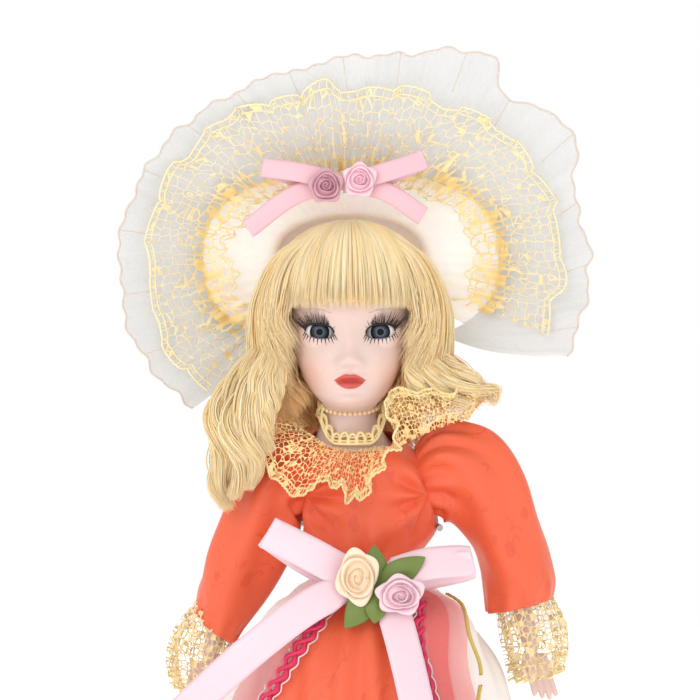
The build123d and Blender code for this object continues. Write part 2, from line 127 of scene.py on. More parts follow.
class Shape:
    """Collects vertices in mm, faces, flat cloth coordinates and a tint, then makes one object."""

    def __init__(self):
        self.points, self.quads, self.flat, self.tints, self.count = [], [], [], [], 0

    def add(self, points, quads, flat, tint):
        """Adds vertices, their flat coordinates and tints, and quads that number them from 0."""
        self.quads += [self.count + quad.reshape(-1, 4) for quad in quads]
        self.points.append(points.reshape(-1, 3))
        self.flat.append(flat.reshape(-1, 2))
        self.tints.append(tint.reshape(-1))
        self.count += points.size // 3
        return self

    def grid(self, points, flat=None, tint=0.5, around=False):
        """Sheet of points (rows, columns, 3). around joins the last column to the first."""
        rows, cols = points.shape[:2]
        at = np.arange(rows * cols).reshape(rows, cols)
        if around:
            at = np.concatenate([at, at[:, :1]], 1)
        quads = np.stack([at[:-1, :-1], at[:-1, 1:], at[1:, 1:], at[1:, :-1]], -1)
        if flat is None:
            flat = np.zeros((rows, cols, 2))
        return self.add(points, [quads], flat, np.broadcast_to(tint, (rows, cols)))

    def tubes(self, paths, radius, sides=5, tint=0.5):
        """Round strands along paths (strands, steps, 3). Strands of four sides get closed ends."""
        paths = np.asarray(paths, float)
        if paths.ndim == 2:
            paths = paths[None]
        n, steps = paths.shape[:2]
        radius = np.broadcast_to(radius, (n, steps))
        along = unit(np.gradient(paths, axis=1))
        axis = np.eye(3)[np.argmin(np.abs(along).mean(axis=1), axis=1)]
        across = unit(np.cross(along, axis[:, None, :]))
        out = np.cross(across, along)
        turn = np.linspace(0, 2 * pi, sides, endpoint=False)[None, None, :, None]
        ring = across[:, :, None, :] * np.cos(turn) + out[:, :, None, :] * np.sin(turn)
        points = paths[:, :, None, :] + ring * radius[:, :, None, None]
        at = np.arange(n * steps * sides).reshape(n, steps, sides)
        following = np.roll(at, -1, axis=2)
        quads = [np.stack([at[:, :-1], following[:, :-1], following[:, 1:], at[:, 1:]], -1)]
        if sides == 4:
            quads += [at[:, 0, ::-1], at[:, -1]]
        tint = np.broadcast_to(np.asarray(tint, float).reshape(-1, 1, 1), at.shape)
        return self.add(points, quads, np.zeros((*at.shape, 2)), tint)

    def area(self):
        """Area of the sheet in square metres."""
        points, quads = np.concatenate(self.points), np.concatenate(self.quads)
        a, b, c, d = (points[quads[:, k]] for k in range(4))
        return 0.5 * np.linalg.norm(np.cross(c - a, d - b), axis=1).sum() * MM * MM

    def make(self, name, material, body, nodes=(), slot=None, thick=None, weld=None):
        """The object, in metres, riding on a body and standing for CAD nodes."""
        points, quads = np.concatenate(self.points) * MM, np.concatenate(self.quads)
        mesh = bpy.data.meshes.new(name)
        mesh.vertices.add(len(points))
        mesh.vertices.foreach_set("co", points.astype(np.float32).ravel())
        mesh.loops.add(quads.size)
        mesh.loops.foreach_set("vertex_index", quads.astype(np.int32).ravel())
        mesh.polygons.add(len(quads))
        mesh.polygons.foreach_set("loop_start", np.arange(0, quads.size, 4, dtype=np.int32))
        mesh.update(calc_edges=True)
        flat = mesh.uv_layers.new(name="flat")
        flat.data.foreach_set("uv", np.concatenate(self.flat)[quads.ravel()].astype(np.float32).ravel())
        tint = mesh.attributes.new("tint", "FLOAT", "POINT")
        tint.data.foreach_set("value", np.concatenate(self.tints).astype(np.float32))
        mesh.validate()
        if weld:
            cleaned = bmesh.new()
            cleaned.from_mesh(mesh)
            bmesh.ops.remove_doubles(cleaned, verts=cleaned.verts, dist=weld * MM)
            bmesh.ops.recalc_face_normals(cleaned, faces=cleaned.faces)
            cleaned.to_mesh(mesh)
            cleaned.free()
        mesh.polygons.foreach_set("use_smooth", [True] * len(mesh.polygons))
        obj = bpy.data.objects.new(name, mesh)
        bpy.context.scene.collection.objects.link(obj)
        mesh.materials.append(material)
        if thick:
            shell = obj.modifiers.new("thickness", "SOLIDIFY")
            shell.thickness, shell.offset = thick * MM, 0
        if body:
            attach(obj, body)
        if nodes:
            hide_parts(*nodes)
        return obj


def cloth(shape, width):
    """Works out how long a sheet cut this wide in mm is from its area; nothing uses the length."""
    length = shape.area() / (width * MM)


def gathered(name, points, material, body, width, rests_on, **look):
    """A gathered sheet with nothing sewn to it, cut this wide in mm."""
    shape = Shape().grid(points, flat_of(points))
    obj = shape.make(name, material, body, **look)
    cloth(shape, width)


def padding(name, node, body, points):
    """A stuffed cotton form round rows of points, closed at both ends."""
    caps = [np.repeat(points[k:k + 1].mean(1, keepdims=True), points.shape[1], 1) for k in (0, -1)]
    shape = Shape().grid(np.concatenate([caps[0], points, caps[1]]), around=True)
    obj = shape.make(name, COTTON, body, nodes=[node], slot="cotton", weld=0.001)


# ---------------------------------------------------------------- materials
class Finish:
    """A Principled material built from nodes."""

    def __init__(self, name, **sockets):
        self.material = bpy.data.materials.new(name)
        self.material.use_nodes = True
        self.tree = self.material.node_tree
        self.shader = self.tree.nodes["Principled BSDF"]
        self.put(self.shader, **{k.replace("_", " "): v for k, v in sockets.items()})

    def put(self, node, **sockets):
        """Sets a node's inputs, by name or as #number, to values or to what another node gives."""
        for key, value in sockets.items():
            place = node.inputs[int(key[1:])] if key[0] == "#" else node.inputs[key]
            if isinstance(value, bpy.types.NodeSocket):
                self.tree.links.new(value, place)
            elif isinstance(value, tuple) and len(value) == 3 and place.type == "RGBA":
                place.default_value = (*value, 1)
            else:
                place.default_value = value

    def node(self, kind, out=0, settings=None, **sockets):
        """Adds a shader node with these settings and inputs, and gives one of its outputs."""
        made = self.tree.nodes.new("ShaderNode" + kind)
        for key, value in (settings or {}).items():
            setattr(made, key, value)
        self.put(made, **sockets)
        return made.outputs[out]

    def math(self, operation, a, b=0.0, c=0.0):
        """One step of arithmetic on values."""
        return self.node("Math", settings={"operation": operation}, **{"#0": a, "#1": b, "#2": c})

    def mix(self, share, a, b):
        """Colour a at share 0, colour b at share 1."""
        return self.node("MixRGB", Fac=share, Color1=a, Color2=b)

    def attribute(self, name):
        """A value painted on the mesh's points."""
        return self.node("Attribute", out="Fac", settings={"attribute_name": name})

    def step(self, value, low, high):
        """0 below low and 1 above high."""
        return self.node("MapRange", settings={"interpolation_type": "SMOOTHSTEP"}, Value=value,
                         **{"From Min": low, "From Max": high})

    def flat(self, scale_u=1.0, scale_v=1.0):
        """Flat cloth coordinates, in mm times the scales."""
        uv = self.node("TexCoord", out="UV")
        return self.node("Mapping", Vector=uv, Scale=(scale_u, scale_v, 1.0))

    def place(self):
        """Coordinates in the shared frame, in mm."""
        return self.node("Mapping", Vector=self.node("TexCoord", out="Object"),
                         Scale=(1 / MM, 1 / MM, 1 / MM))

    def noise(self, vector, scale, detail=3.0, out="Fac"):
        """Cloudy pattern of about scale patches to a unit of the coordinates."""
        return self.node("TexNoise", out=out, Vector=vector, Scale=scale, Detail=detail)

    def relief(self, height, strength, distance):
        """Bump of a height pattern, the distance in mm."""
        normal = self.node("Bump", Height=height, Strength=strength, Distance=distance * MM)
        self.put(self.shader, Normal=normal)

    def colour(self, value):
        """Sets the surface's own colour."""
        self.put(self.shader, **{"Base Color": value})


def dimmed(colour, share):
    """The colour times a share, no channel past 1."""
    return tuple(min(1, channel * share) for channel in colour)


def bisque():
    """Unglazed tinted porcelain, with the blush and the lips painted on it."""
    p = Finish("bisque", Roughness=0.42, Specular_IOR_Level=0.45, Subsurface_Weight=0.12,
               Subsurface_Scale=0.004, Coat_Weight=0.12, Coat_Roughness=0.35)
    blush = p.attribute("blush")
    lip = p.attribute("lip")
    grain = p.noise(p.place(), 0.5)
    skin = p.mix(grain, (0.72, 0.53, 0.47), (0.76, 0.57, 0.51))
    skin = p.mix(p.math("MULTIPLY", blush, 0.38), skin, (0.80, 0.36, 0.22))
    lips = p.mix(p.noise(p.place(), 1.8), (0.52, 0.065, 0.055), (0.64, 0.12, 0.09))
    p.colour(p.mix(lip, skin, lips))
    p.relief(p.noise(p.place(), 3.0), 0.1, 0.05)
    return p.material


def eye_glass(node):
    """Glass eye: dark pupil, streaked grey-blue iris with a dark rim, white around it."""
    p = Finish("glass_" + node, Roughness=0.12, Specular_IOR_Level=0.12, Coat_Weight=0.06,
               Coat_Roughness=0.1)
    centre = spot(node) * MM
    away = p.node("VectorMath", settings={"operation": "SUBTRACT"}, **{
        "#0": p.node("TexCoord", out="Object"), "#1": tuple(float(c) for c in centre)})
    axes = p.tree.nodes.new("ShaderNodeSeparateXYZ")
    p.put(axes, Vector=away)
    x, z = (p.math("DIVIDE", axes.outputs[k], MM) for k in ("X", "Z"))
    ring = p.math("SQRT", p.math("ADD", p.math("MULTIPLY", x, x), p.math("MULTIPLY", z, z)))
    turn = p.math("ARCTAN2", z, x)
    ray = p.node("CombineXYZ", X=p.math("MULTIPLY", turn, 6.0), Y=p.math("MULTIPLY", ring, 0.5))
    streak = p.noise(ray, 2.6, 2.0)
    iris = p.mix(p.step(streak, 0.35, 0.7), (0.012, 0.017, 0.028), (0.055, 0.070, 0.098))
    iris = p.mix(p.step(ring, 1.0, 1.9), (0.10, 0.12, 0.16), iris)
    iris = p.mix(p.step(ring, 1.9, 2.5), iris, (0.006, 0.008, 0.013))
    iris = p.mix(p.step(ring, 0.95, 1.15), (0.004, 0.004, 0.005), iris)
    p.colour(p.mix(p.step(ring, 2.85, 3.1), iris, (0.78, 0.76, 0.74)))
    return p.material


def hair():
    """Blonde wig fibre, from golden in the shade of the lock to pale on top."""
    p = Finish("blonde_hair", Roughness=0.38, Specular_IOR_Level=0.55, Anisotropic=0.5,
               Sheen_Weight=0.15, Subsurface_Weight=0.05, Subsurface_Scale=0.003)
    shade = p.attribute("tint")
    tone = p.mix(p.step(shade, 0.0, 0.5), (0.96, 0.47, 0.13), (1.0, 0.75, 0.37))
    tone = p.mix(p.step(shade, 0.5, 1.0), tone, (1.0, 0.88, 0.61))
    p.colour(tone)
    return p.material


def plain(name, colour, rough=0.6, vary=0.08, relief=0.05, **sockets):
    """One colour with a little uneven tone and grain."""
    p = Finish(name, Roughness=rough, **sockets)
    patches, grain = 0.6, 3.6
    p.colour(p.mix(p.noise(p.place(), patches), dimmed(colour, 1 - vary), dimmed(colour, 1 + vary)))
    p.relief(p.noise(p.place(), grain), 0.3, relief)
    return p.material


def weave(p, threads):
    """Height of a plain weave of so many threads a mm."""
    one_thread = 0.318                 # a wave texture at this scale repeats once a mm
    u, v = (p.node("TexWave", Vector=p.flat(), Scale=threads * one_thread,
                   settings={"bands_direction": axis}) for axis in "XY")
    return p.math("MULTIPLY", p.math("ADD", u, v), 0.5)


def taffeta():
    """Coral taffeta: tone-on-tone leaf figure, crisp sheen and fine crosswise threads."""
    p = Finish("coral_taffeta", Roughness=0.42, Specular_IOR_Level=0.5, Sheen_Weight=0.35,
               Sheen_Roughness=0.4, Sheen_Tint=(1.0, 0.62, 0.5))
    field = p.noise(p.flat(), 0.13, 1.0)
    vine = p.step(p.math("ABSOLUTE", p.math("SUBTRACT", field, 0.5)), 0.016, 0.006)
    vine = p.math("MULTIPLY", vine, p.step(p.noise(p.flat(), 0.11, 0.0), 0.50, 0.56))
    swirl = p.node("VectorMath", settings={"operation": "MULTIPLY_ADD"}, **{
        "#0": p.noise(p.flat(), 0.35, 1.0, out="Color"), "#1": (2.4, 2.4, 0.0), "#2": p.flat(1.0, 0.6)})
    leaf = p.step(p.node("TexVoronoi", Vector=swirl, Scale=0.15, Randomness=0.8), 0.27, 0.22)
    figure = p.math("MAXIMUM", vine, leaf)
    tone = p.mix(p.noise(p.flat(), 0.05, 1.0), (0.80, 0.108, 0.036), (0.84, 0.135, 0.054))
    tone = p.mix(p.math("MULTIPLY", figure, 0.5), tone, (0.70, 0.070, 0.026))
    p.colour(tone)
    p.put(p.shader, Roughness=p.math("SUBTRACT", 0.48, p.math("MULTIPLY", figure, 0.16)))
    crinkle = p.math("MULTIPLY", p.noise(p.flat(1.0, 0.45), 0.17, 2.0), 8.0)
    height = p.math("ADD", weave(p, 3.2), crinkle)
    p.relief(p.math("ADD", height, p.math("MULTIPLY", figure, 1.2)), 0.4, 0.06)
    return p.material


def satin(name, colour, rough=0.34, sheen=0.4, translucent=0.0):
    """Satin ribbon or lining, with fine lengthwise ribs."""
    p = Finish(name, Roughness=rough, Specular_IOR_Level=0.5, Sheen_Weight=sheen,
               Sheen_Roughness=0.35, Anisotropic=0.4, Subsurface_Weight=translucent,
               Subsurface_Scale=0.006)
    shade = p.noise(p.flat(0.25, 0.25), 1.0, 2.0)
    p.colour(p.mix(shade, dimmed(colour, 0.975), dimmed(colour, 1.02)))
    ribs = p.node("TexWave", Vector=p.flat(), Scale=1.1, settings={"bands_direction": "Y"})
    p.relief(ribs, 0.12, 0.04)
    return p.material


def lace(name, cell, figure_size, dark, light, fill=0.40, thread=0.075):
    """Openwork lace: a net of cells this many mm across, with denser corded figures on it. Tint is
    how densely the cloth is gathered, 0 open and 1 solid."""
    p = Finish(name, Roughness=0.55, Specular_IOR_Level=0.4, Sheen_Weight=0.4)
    net = p.node("TexVoronoi", settings={"feature": "DISTANCE_TO_EDGE"}, Vector=p.flat(), Scale=1 / cell,
                 Randomness=0.6)
    fine = p.node("TexVoronoi", settings={"feature": "DISTANCE_TO_EDGE"}, Vector=p.flat(),
                  Scale=2.6 / cell, Randomness=0.8)
    petal = p.math("MULTIPLY", p.noise(p.flat(), 2.2 / figure_size, 1.0), 0.35)
    flower = p.node("TexVoronoi", Vector=p.flat(), Scale=1 / figure_size, Randomness=0.75)
    reach = p.math("ADD", flower, petal)
    dense = p.math("MULTIPLY", p.attribute("tint"), 0.17)
    threads = p.math("LESS_THAN", net, p.math("ADD", thread, dense))
    figure = p.math("MULTIPLY", p.math("LESS_THAN", reach, fill),
                    p.math("LESS_THAN", fine, p.math("ADD", 0.09, dense)))
    outline = p.math("COMPARE", reach, fill + 0.02, 0.024)
    cover = p.math("MAXIMUM", p.math("MAXIMUM", threads, figure), outline)
    tone = p.mix(p.noise(p.flat(), 0.22), dark, light)
    p.colour(p.mix(p.step(p.attribute("tint"), 0.15, 0.75), tone, dark))
    p.put(p.shader, Alpha=cover)
    p.relief(p.noise(p.flat(), 5.0), 0.4, 0.1)
    return p.material


def sheer(name, colour, cover):
    """Sheer organza: a fine open weave that lets part of the light through."""
    p = Finish(name, Roughness=0.5, Sheen_Weight=0.5, Specular_IOR_Level=0.35)
    shade = p.noise(p.flat(0.2, 0.05), 1.0, 3.0)
    p.colour(p.mix(shade, dimmed(colour, 0.95), dimmed(colour, 1.04)))
    thread = p.noise(p.flat(2.5, 0.6), 1.0, 2.0)
    p.put(p.shader, Alpha=p.math("ADD", cover - 0.08, p.math("MULTIPLY", thread, 0.16)))
    return p.material


SKIN = bisque()
HAIR = hair()
TAFFETA = taffeta()
BONNET_LACE = lace("bonnet_lace", 3.4, 8.0, dark=(0.86, 0.63, 0.24), light=(0.96, 0.86, 0.56), fill=0.25,
                   thread=0.038)
COLLAR_LACE = lace("collar_lace", 1.3, 6.5, dark=(0.90, 0.60, 0.20), light=(0.98, 0.80, 0.42), fill=0.32,
                   thread=0.07)
CUFF_LACE = lace("cuff_lace", 2.0, 5.5, dark=(0.78, 0.56, 0.22), light=(0.94, 0.80, 0.50), fill=0.32,
                 thread=0.058)
HEM_LACE = lace("hem_lace", 1.5, 5.5, dark=(0.70, 0.60, 0.44), light=(0.88, 0.80, 0.66))
CREAM = satin("cream_satin", (0.90, 0.82, 0.76), rough=0.42)
LINING = satin("bonnet_lining", (0.98, 0.95, 0.91), rough=0.7, sheen=0.6, translucent=0.7)
PINK_SATIN = satin("pink_satin", (0.88, 0.63, 0.69))
HAT_RIBBON = satin("bonnet_ribbon", (0.84, 0.50, 0.55), rough=0.45)
BLUSH_RIBBON = satin("blush_ribbon", (0.93, 0.62, 0.70))
CREAM_RIBBON = satin("cream_ribbon", (0.93, 0.75, 0.55))
MAUVE_RIBBON = satin("mauve_ribbon", (0.66, 0.36, 0.42))
LEAF = satin("leaf_ribbon", (0.15, 0.21, 0.035), rough=0.4, sheen=0.15)
ORGANZA = sheer("white_organza", (0.75, 0.75, 0.745), 0.70)
PEACH_EDGE = plain("brim_edge", (0.76, 0.62, 0.52), rough=0.6)
SHEER_CORAL = sheer("coral_sheer", (0.80, 0.20, 0.20), 0.55)
COTTON = plain("cotton", (0.83, 0.79, 0.72), rough=0.85, relief=0.08)
BRAID_PINK = plain("braid_pink", (0.70, 0.02, 0.10), rough=0.5)
BRAID_SILVER = plain("braid_silver", (0.72, 0.62, 0.64), rough=0.3, Metallic=0.6)
GOLD = plain("gold_cord", (0.62, 0.45, 0.12), rough=0.35, Metallic=0.5)
LACE_CORD = plain("lace_cord", (0.94, 0.75, 0.38), rough=0.6)
PALE_CORD = plain("pale_lace_cord", (0.95, 0.84, 0.54), rough=0.6)
PEARL = plain("pearl", (0.90, 0.66, 0.38), rough=0.22, Coat_Weight=0.6)
LASH = plain("lash_fibre", (0.018, 0.012, 0.010), rough=0.4)
BROW = plain("brow_paint", (0.60, 0.34, 0.24), rough=0.6)
STAND_PAINT = plain("stand_paint", (0.80, 0.80, 0.78), rough=0.35, relief=0.02)
WIRE = plain("clip_wire", (0.45, 0.45, 0.46), rough=0.3, Metallic=0.9)
SHOE = plain("shoe_leatherette", (0.82, 0.78, 0.72), rough=0.4)
PLASTER = plain("setting_plaster", (0.80, 0.78, 0.73), rough=0.9)
CORK = plain("pate_cork", (0.48, 0.32, 0.17), rough=0.85, vary=0.25)


def dress_node(node, material):
    """Gives a CAD node that stays in view its material."""
    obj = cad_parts[node]
    obj.data.materials.clear()
    obj.data.materials.append(material)


# ---------------------------------------------------------------- head
EYE_L, EYE_R = spot("eye_left"), spot("eye_right")
HEAD_X = (EYE_L[0] + EYE_R[0]) / 2
EYE_DX, EYE_Z, EYE_Y = (EYE_L[0] - EYE_R[0]) / 2, EYE_L[2], EYE_L[1]
LID_R = 6.75                       # the lids lie this far from the eye's centre
OPEN_W, OPEN_UP, OPEN_DOWN = 4.25, 2.35, 1.95
MOUTH_Z, MOUTH_W = 291.2, 5.0

# rows of the head's skin: front height, back height, half width, front y, back y, axis x
SKIN_ROWS = np.array([
    (252.0, 252.0, 18.2, -12.0, 12.0, -0.8), (258.0, 258.0, 19.0, -12.2, 12.2, -2.1),
    (264.0, 264.0, 17.0, -12.0, 11.4, -3.3), (269.0, 270.5, 13.8, -11.0, 10.2, -4.2),
    (273.0, 276.0, 10.4, -8.8, 8.8, -4.8), (278.0, 281.0, 8.3, -7.2, 7.8, HEAD_X),
    (281.0, 285.0, 8.2, -8.4, 9.0, HEAD_X), (282.2, 289.0, 9.2, -14.2, 13.0, HEAD_X),
    (283.0, 292.0, 10.6, -18.6, 17.0, HEAD_X), (284.9, 296.0, 12.7, -21.0, 20.0, HEAD_X),
    (288.0, 300.0, 14.7, -21.7, 21.6, HEAD_X), (292.0, 304.0, 16.4, -22.1, 22.3, HEAD_X),
    (297.0, 308.0, 18.0, -22.4, 22.6, HEAD_X), (303.0, 312.0, 19.3, -22.4, 22.8, HEAD_X),
    (309.0, 316.5, 20.0, -22.6, 22.9, HEAD_X), (315.0, 321.0, 20.2, -22.9, 22.8, HEAD_X),
    (321.0, 325.0, 19.4, -22.4, 22.0, HEAD_X), (327.0, 329.5, 17.0, -20.2, 20.0, HEAD_X),
    (332.0, 333.0, 12.6, -15.4, 16.4, HEAD_X), (335.0, 335.5, 7.0, -9.0, 10.0, HEAD_X),
    (336.2, 336.2, 0.6, -0.6, 2.6, HEAD_X)])

# small forms of the face: dx, height, push out, spread across, spread up
FACE_FORMS = [
    (0.0, 304.0, 0.7, 2.6, 4.6), (0.0, 300.5, 0.8, 2.4, 3.2), (0.0, 297.4, 2.2, 2.8, 2.4),
    (2.9, 296.3, 1.2, 1.8, 1.7), (1.3, 294.9, -0.35, 0.9, 0.7), (0.0, 293.9, -0.3, 0.8, 1.0),
    (2.3, 292.5, 1.0, 2.2, 0.95), (0.0, 292.6, 0.55, 1.4, 0.8), (0.0, 289.7, 1.45, 3.1, 1.15),
    (0.0, 287.4, -0.55, 4.0, 0.9), (0.0, 285.6, 1.5, 4.6, 2.5), (10.2, 294.6, 1.3, 5.4, 5.2),
    (9.4, 313.0, 0.6, 6.0, 2.6)]


def skin_points(rows, cols, grow=0.0):
    """Head skin (rows, cols, 3). Columns go round from the back; the face gets most of both."""
    index = np.arange(len(SKIN_ROWS), dtype=float)
    at = smooth(np.linspace(0, 1, rows), [0, 0.16, 0.30, 0.84, 1.0], [0, 5, 8.2, 15.2, 20])
    zf, zb, w, yf, yb, cx = (smooth(at, index, SKIN_ROWS[:, k])[:, None] for k in range(6))
    s = np.linspace(-1, 1, cols, endpoint=False)[None, :]
    turn = pi * (0.42 * s + 0.58 * s ** 3)
    side, front = np.sin(turn), np.cos(turn)
    square = 1 + 0.05 * np.sin(2 * turn) ** 2
    x = cx + (w + grow) * side * square
    y = np.where(front > 0, (yf - grow) * front, (yb + grow) * -front)
    z = zf * (0.5 + 0.5 * front) + zb * (0.5 - 0.5 * front)
    points = np.stack([x, y, z], -1)
    if grow == 0.0:
        dx = points[..., 0] - HEAD_X
        push = sum(a * (bump(dx, z, fx, fz, sx, sz) + (bump(dx, z, -fx, fz, sx, sz) if fx else 0))
                   for fx, fz, a, sx, sz in FACE_FORMS)
        crease = np.exp(-((dx / 4.3) ** 4)) * np.exp(-(((z - MOUTH_Z + 0.03 * dx * dx) / 0.42) ** 2))
        points[..., 1] -= (push - 0.8 * crease) * ramp(front, 0.1, 0.5)
        for sign in (-1, 1):
            away = np.hypot(dx - sign * EYE_DX, z - EYE_Z)
            socket = 2.0 * bump(dx, z, sign * EYE_DX, EYE_Z + 0.3, 6.2, 4.6)
            base = points[..., 1] + socket * ramp(front, 0.1, 0.5)
            lid = EYE_Y - np.sqrt(np.maximum(LID_R ** 2 - away ** 2, 0.0))
            lid = np.where(away < LID_R, lid, 50.0)
            soft_join = 0.55
            gap = np.clip(0.5 + 0.5 * (base - lid) / soft_join, 0, 1)
            joined = base * (1 - gap) + lid * gap - soft_join * gap * (1 - gap)
            near = (away < LID_R + 4) & (front > 0)
            points[..., 1] = np.where(near, joined, base)
    return points


def eye_outline(sign, grow=0.0, count=44):
    """Almond outline of an eye opening, seen from the front: x and z."""
    t = np.linspace(0, 2 * pi, count, endpoint=False)
    x, up = np.cos(t), np.sin(t)
    lift = np.where(up > 0, (OPEN_UP + grow) * np.abs(up) ** 0.85, -(OPEN_DOWN + grow) * np.abs(up) ** 0.95)
    tilt = 0.35 * x * sign
    return HEAD_X + sign * EYE_DX + (OPEN_W + grow) * x, EYE_Z + lift + tilt


FACE_GRID = skin_points(236, 250)


def make_head():
    """Bisque head and shoulder plate, with open eyes and painted cheeks and lips."""
    thick, inner_rows = 1.9, 40
    inner = skin_points(inner_rows, FACE_GRID.shape[1], grow=-thick)[::-1]
    shell = Shape().grid(np.concatenate([FACE_GRID, inner, FACE_GRID[:1]]), around=True)
    obj = shell.make("head_bisque", SKIN, None, weld=0.004)
    for sign in (-1, 1):
        x, z = eye_outline(sign)
        cutter = Shape()
        loops = [np.stack([x, np.full_like(x, y), z], -1) for y in (-34.0, -15.0)]
        middle = [np.repeat(loop.mean(0, keepdims=True), len(x), 0) for loop in loops]
        cutter.grid(np.stack([middle[0], loops[0], loops[1], middle[1]]), around=True)
        tool = cutter.make("cutter", SKIN, None, weld=0.001)
        cut = obj.modifiers.new("opening", "BOOLEAN")
        cut.operation, cut.solver, cut.object = "DIFFERENCE", "EXACT", tool
        bpy.context.view_layer.update()
        mesh = bpy.data.meshes.new_from_object(obj.evaluated_get(bpy.context.evaluated_depsgraph_get()))
        obj.modifiers.clear()
        obj.data = mesh
        bpy.data.objects.remove(tool)
    mesh = obj.data
    where = np.empty(len(mesh.vertices) * 3, np.float32)
    mesh.vertices.foreach_get("co", where)
    where = where.reshape(-1, 3) / MM
    dx, z, front = where[:, 0] - HEAD_X, where[:, 2], where[:, 1] < -6
    blush = sum(bump(dx, z, s * 12.2, 292.5, 4.6, 5.2) + 0.5 * bump(dx, z, s * 16.5, 300.0, 3.0, 7.0)
                for s in (-1, 1)) + 0.25 * bump(dx, z, 0, 284.5, 5.0, 1.6)
    blush += 0.28 * sum(bump(dx, z, s * EYE_DX, EYE_Z + 3.6, 5.0, 1.8) for s in (-1, 1))
    across = np.abs(dx) / MOUTH_W
    upper = MOUTH_Z + 2.25 * np.clip(1 - across ** 1.8, 0, 1) * (1 - 0.16 * np.exp(-((dx / 1.0) ** 2)))
    lower = MOUTH_Z - 2.45 * np.clip(1 - (across * 1.08) ** 2.4, 0, 1)
    lip = ramp(np.minimum(upper - z, z - lower), -0.12, 0.16) * (across < 1) * front
    for name, value in (("blush", blush * front), ("lip", lip)):
        layer = mesh.attributes.new(name, "FLOAT", "POINT")
        layer.data.foreach_set("value", np.clip(value, 0, 1).astype(np.float32))
    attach(obj, "doll")
    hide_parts("head")


def on_face(x, z, proud=0.04):
    """Point of the face's surface at x and z."""
    gap = np.hypot(FACE_GRID[..., 0] - x, FACE_GRID[..., 2] - z) + 100 * (FACE_GRID[..., 1] > -5)
    near = np.unravel_index(np.argmin(gap), gap.shape)
    return np.array([x, FACE_GRID[near][1] - proud, z])


def make_lashes():
    """Thick upper lashes that fan up and out, and short painted ones below the eye."""
    lashes, painted_lashes, brow_hairs = 120, 12, 7
    steps = np.linspace(0, 1, 7)[:, None]
    for sign, side in ((-1, "right"), (1, "left")):
        upper = Shape()
        for k in range(lashes):
            t = pi * (0.03 + 0.94 * (k + random.uniform(-0.5, 0.5)) / (lashes - 1))
            x = HEAD_X + sign * EYE_DX + OPEN_W * cos(t)
            z = EYE_Z + OPEN_UP * sin(t) ** 0.85 + 0.35 * cos(t) * sign
            y = EYE_Y - sqrt(max(LID_R ** 2 - (x - HEAD_X - sign * EYE_DX) ** 2 - (z - EYE_Z) ** 2, 4))
            y = min(y, on_face(x, z)[1] - 0.1)
            long = (2.2 + 2.2 * random.uniform(0, 1) ** 2) * (0.8 + 0.2 * abs(cos(t)))
            out = np.array([cos(t) * 1.25 + random.normal(0, 0.22), -0.75, 0.75 + random.normal(0, 0.16)])
            curl = np.array([0, 0.35, 0.5])
            path = np.array([x, y + 0.25, z]) + long * (steps * out + steps ** 2 * curl)
            upper.tubes(path, np.linspace(0.09, 0.02, 7), sides=4)
        upper.make("lashes_" + side, LASH, "doll", nodes=["lash_" + side], slot="lash")
        painted = Shape()
        for k in range(painted_lashes):
            t = pi * (1.06 + 0.88 * k / (painted_lashes - 1))
            x = HEAD_X + sign * EYE_DX + (OPEN_W + 0.25) * cos(t)
            z = EYE_Z + (OPEN_DOWN + 0.2) * sin(t) + 0.35 * cos(t) * sign
            long = 1.35 + 0.5 * (k % 2)
            path = [on_face(x + long * s * 0.55 * cos(t), z - long * s) for s in (0, 0.35, 0.7, 1.0)]
            painted.tubes(np.array(path), np.linspace(0.20, 0.04, 4), sides=4)
        rim_x, rim_z = eye_outline(sign, grow=0.12, count=60)
        rim = np.array([on_face(a, b, 0.02) for a, b in zip(rim_x, rim_z)])
        painted.tubes(rim[:31], 0.30, sides=4)
        painted.tubes(rim[30:], 0.09, sides=4)
        painted.make("painted_lashes_" + side, LASH, "doll", slot="lash")
        brow = Shape()
        for k in range(brow_hairs):
            x = HEAD_X + sign * (5.6 + 0.95 * k)
            z = 311.6 + 1.1 * sin(pi * k / 11)
            path = [on_face(x + sign * 1.2 * s, z + 0.35 * s - 0.2 * s * s) for s in (0, 0.5, 1)]
            brow.tubes(np.array(path), np.array([0.05, 0.08, 0.02]), sides=4)
        brow.make("brow_" + side, BROW, "doll", slot="bisque")


make_head()
make_lashes()
for eye in ("eye_left", "eye_right"):
    dress_node(eye, eye_glass(eye))
for node in ("eye_setting_left", "eye_setting_right"):
    dress_node(node, PLASTER)
dress_node("pate", CORK)


# ---------------------------------------------------------------- wig
HAIR_AXIS = np.array([HEAD_X, 1.0, 312.0])
HAIR_R = np.array([26.8, 27.2, 28.4])


def over_head(turn, fall, lift=0.0):
    """Point of the wig: turn round the head from the front, fall from the crown down, 1 is level
    with the eyes' top. Both may be arrays."""
    beta = fall * pi / 2
    r = HAIR_R + np.asarray(lift)[..., None] if np.ndim(lift) else HAIR_R + lift
    side = np.stack([np.sin(turn) * np.sin(beta) ** 0.92, -np.cos(turn) * np.sin(beta) ** 0.92,
                     np.cos(beta)], -1)
    return HAIR_AXIS + side * r


